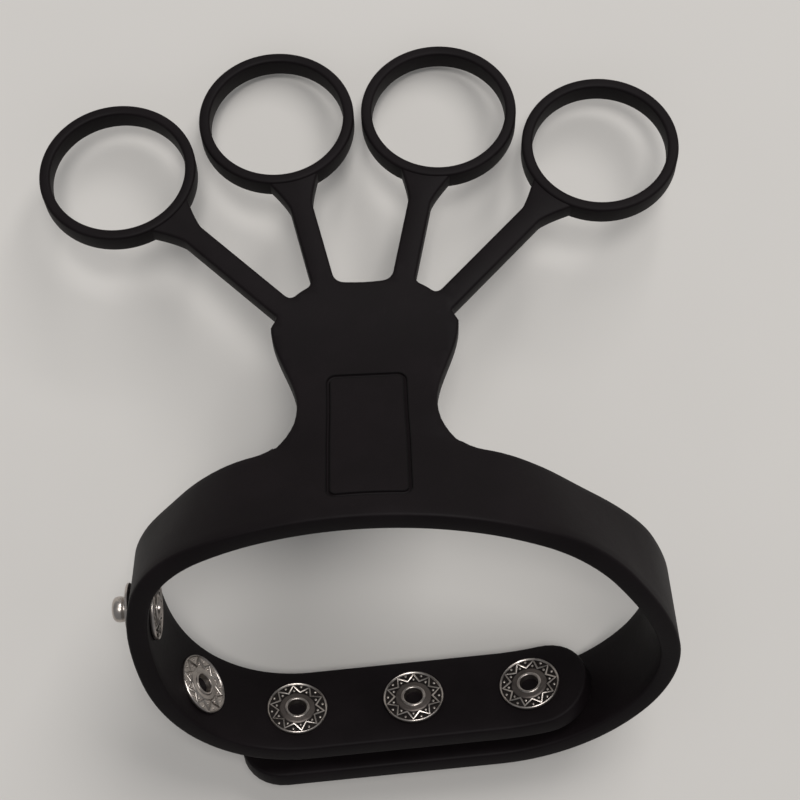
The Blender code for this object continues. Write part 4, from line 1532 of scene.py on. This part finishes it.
    def darken(
        self,
        piece: bpy.types.Object,
        index: int,
        dull: bpy.types.Material,
        dark: bpy.types.Material,
    ) -> None:
        """Give the collar its worn finish, and the sunk floor round it dark tarnish with painted
        shade.

        Args:
            piece: An eyelet in its place.
            index: Which stud it belongs to, from 0.
            dull: Finish of the collar.
            dark: Finish of the floor, tarnish with painted shade.
        """
        for finish in (dull, dark):
            piece.data.materials.append(finish)
        back = self.loop.snap_frame(Side.LEFT, self.loop.stud_distance(index)).inverted()
        floor = -self.loop.thick / 2.0 - self.gap - self.flange + self.recess
        least, most = self.recess_span
        for face in piece.data.polygons:
            centre = back @ face.center
            reach, rise = centre.xy.length, centre.z - floor
            on_collar = self.roll_radius < reach < self.collar and rise < 0.00003
            on_floor = least < reach < most and abs(rise) < 0.00004
            if on_collar and face.area > 1e-8:
                face.material_index = 1
            elif on_floor and face.area > 1.2e-7:
                face.material_index = 2


# ---------------------------------------------------------------------- studio


@dataclass(frozen=True)
class Lamp:
    """Soft square lamp aimed at the part."""

    name: str
    place: Triple
    size: float
    power: float
    tint: Triple = (1.0, 0.985, 0.965)
    aim: Triple = (0.0, 0.0, 0.02)

    def hang(self) -> None:
        """Add the lamp to the scene."""
        data = bpy.data.lights.new(self.name, "AREA")
        data.shape = "SQUARE"
        data.size = self.size
        data.energy = self.power
        data.color = self.tint
        lamp = bpy.data.objects.new(self.name, data)
        bpy.context.scene.collection.objects.link(lamp)
        way = Vector(self.aim) - Vector(self.place)
        turn = way.to_track_quat("-Z", "Y").to_matrix().to_4x4()
        lamp.matrix_world = Matrix.Translation(self.place) @ turn


@dataclass
class Studio:
    """Floor, lights and camera."""

    floor_size: float = 12.0
    floor_gap: float = 0.0001
    sky: Triple = (0.95, 0.97, 1.0)
    sky_strength: float = 0.25
    lamps: tuple[Lamp, ...] = (
        Lamp("top", (0.16, 0.44, 2.26), 0.60, 18.5),
        Lamp("back", (0.62, 1.44, 1.68), 1.10, 28.0),
    )
    lens: float = 81.0
    sensor: float = 36.0
    camera_at: Triple = (0.0056861, 0.0218313, 0.2870818)
    right: Triple = (0.998978, -0.045194, -0.000949)
    up: Triple = (0.045016, 0.996508, -0.070322)
    back: Triple = (0.004124, 0.070207, 0.997524)

    def floor(self, finish: bpy.types.Material) -> None:
        """Lay the floor under the lowest point of the part."""
        Bench.clear()
        height = float(CAD_BOX[0][2]) - self.floor_gap
        bpy.ops.mesh.primitive_plane_add(size=self.floor_size, location=(0.0, 0.0, height))
        floor = bpy.context.object
        floor.name = "floor"
        floor.data.materials.append(finish)

    def lights(self) -> None:
        """Hang the lamps and set the sky."""
        for lamp in self.lamps:
            lamp.hang()
        world = bpy.data.worlds.new("sky")
        world.use_nodes = True
        ground = world.node_tree.nodes["Background"]
        ground.inputs["Color"].default_value = (*self.sky, 1.0)
        ground.inputs["Strength"].default_value = self.sky_strength
        bpy.context.scene.world = world

    def camera(self) -> None:
        """Set the camera almost straight above the part."""
        data = bpy.data.cameras.new("camera")
        data.lens = self.lens
        data.sensor_fit = "HORIZONTAL"
        data.sensor_width = self.sensor
        data.clip_start = 0.01
        camera = bpy.data.objects.new("camera", data)
        bpy.context.scene.collection.objects.link(camera)
        turn = Matrix((self.right, self.up, self.back)).transposed().to_4x4()
        camera.matrix_world = Matrix.Translation(self.camera_at) @ turn
        bpy.context.scene.camera = camera

    def build(self, finish: bpy.types.Material) -> None:
        """Set up the whole studio."""
        self.floor(finish)
        self.lights()
        self.camera()
        bpy.context.scene.view_settings.view_transform = "Standard"


# Each finger's root across the pad, its ring's middle, and the fillets beside its root.
FINGER_PLACES = (
    (-0.0112, -0.0365, 0.0482, (0.0012, 0.0005)),
    (-0.0057, -0.0124, 0.0566, (0.0016, 0.0012)),
    (0.0057, 0.0124, 0.0566, (0.0012, 0.0016)),
    (0.0112, 0.0365, 0.0492, (0.0005, 0.0012)),
)


def main() -> None:
    """Build every sub-assembly, dress it and report it."""
    logging.basicConfig(level=logging.INFO, format="%(name)s: %(message)s")
    loop = Loop()
    panel = PanelFrame()
    panelled = Silicone("silicone_panelled", panel=panel).build()
    silicone = Silicone().build()
    plate = Nickel().build()
    dull = Nickel("nickel_worn", (0.15, 0.130, 0.120), (0.08, 0.07, 0.065), 0.42).build()
    # Sunk floor of the flanges: dark tarnish with painted shade between the ribs.
    dark = Nickel("nickel_recess", (0.045, 0.039, 0.037), (0.022, 0.019, 0.019), 0.46).build()
    fingers = [Finger(loop, number, *place) for number, place in enumerate(FINGER_PLACES, 1)]
    sheet = Sheet(loop, fingers, panel)
    sheet.build()
    sheet.dress(panelled, silicone)
    LOG.info("sheet: %s", ", ".join(p.name for p in sheet.pieces))
    for finger in fingers:
        finger.build()
        finger.dress(silicone)
        LOG.info("finger %d: %s", finger.number, ", ".join(p.name for p in finger.pieces))
    snaps = Snaps(loop)
    snaps.build()
    snaps.dress(plate, dull, dark)
    LOG.info("snaps: %s", ", ".join(p.name for p in snaps.pieces.values()))
    Studio().build(Tabletop().build())
    Bench.clear()


if __name__ == "__main__":
    main()
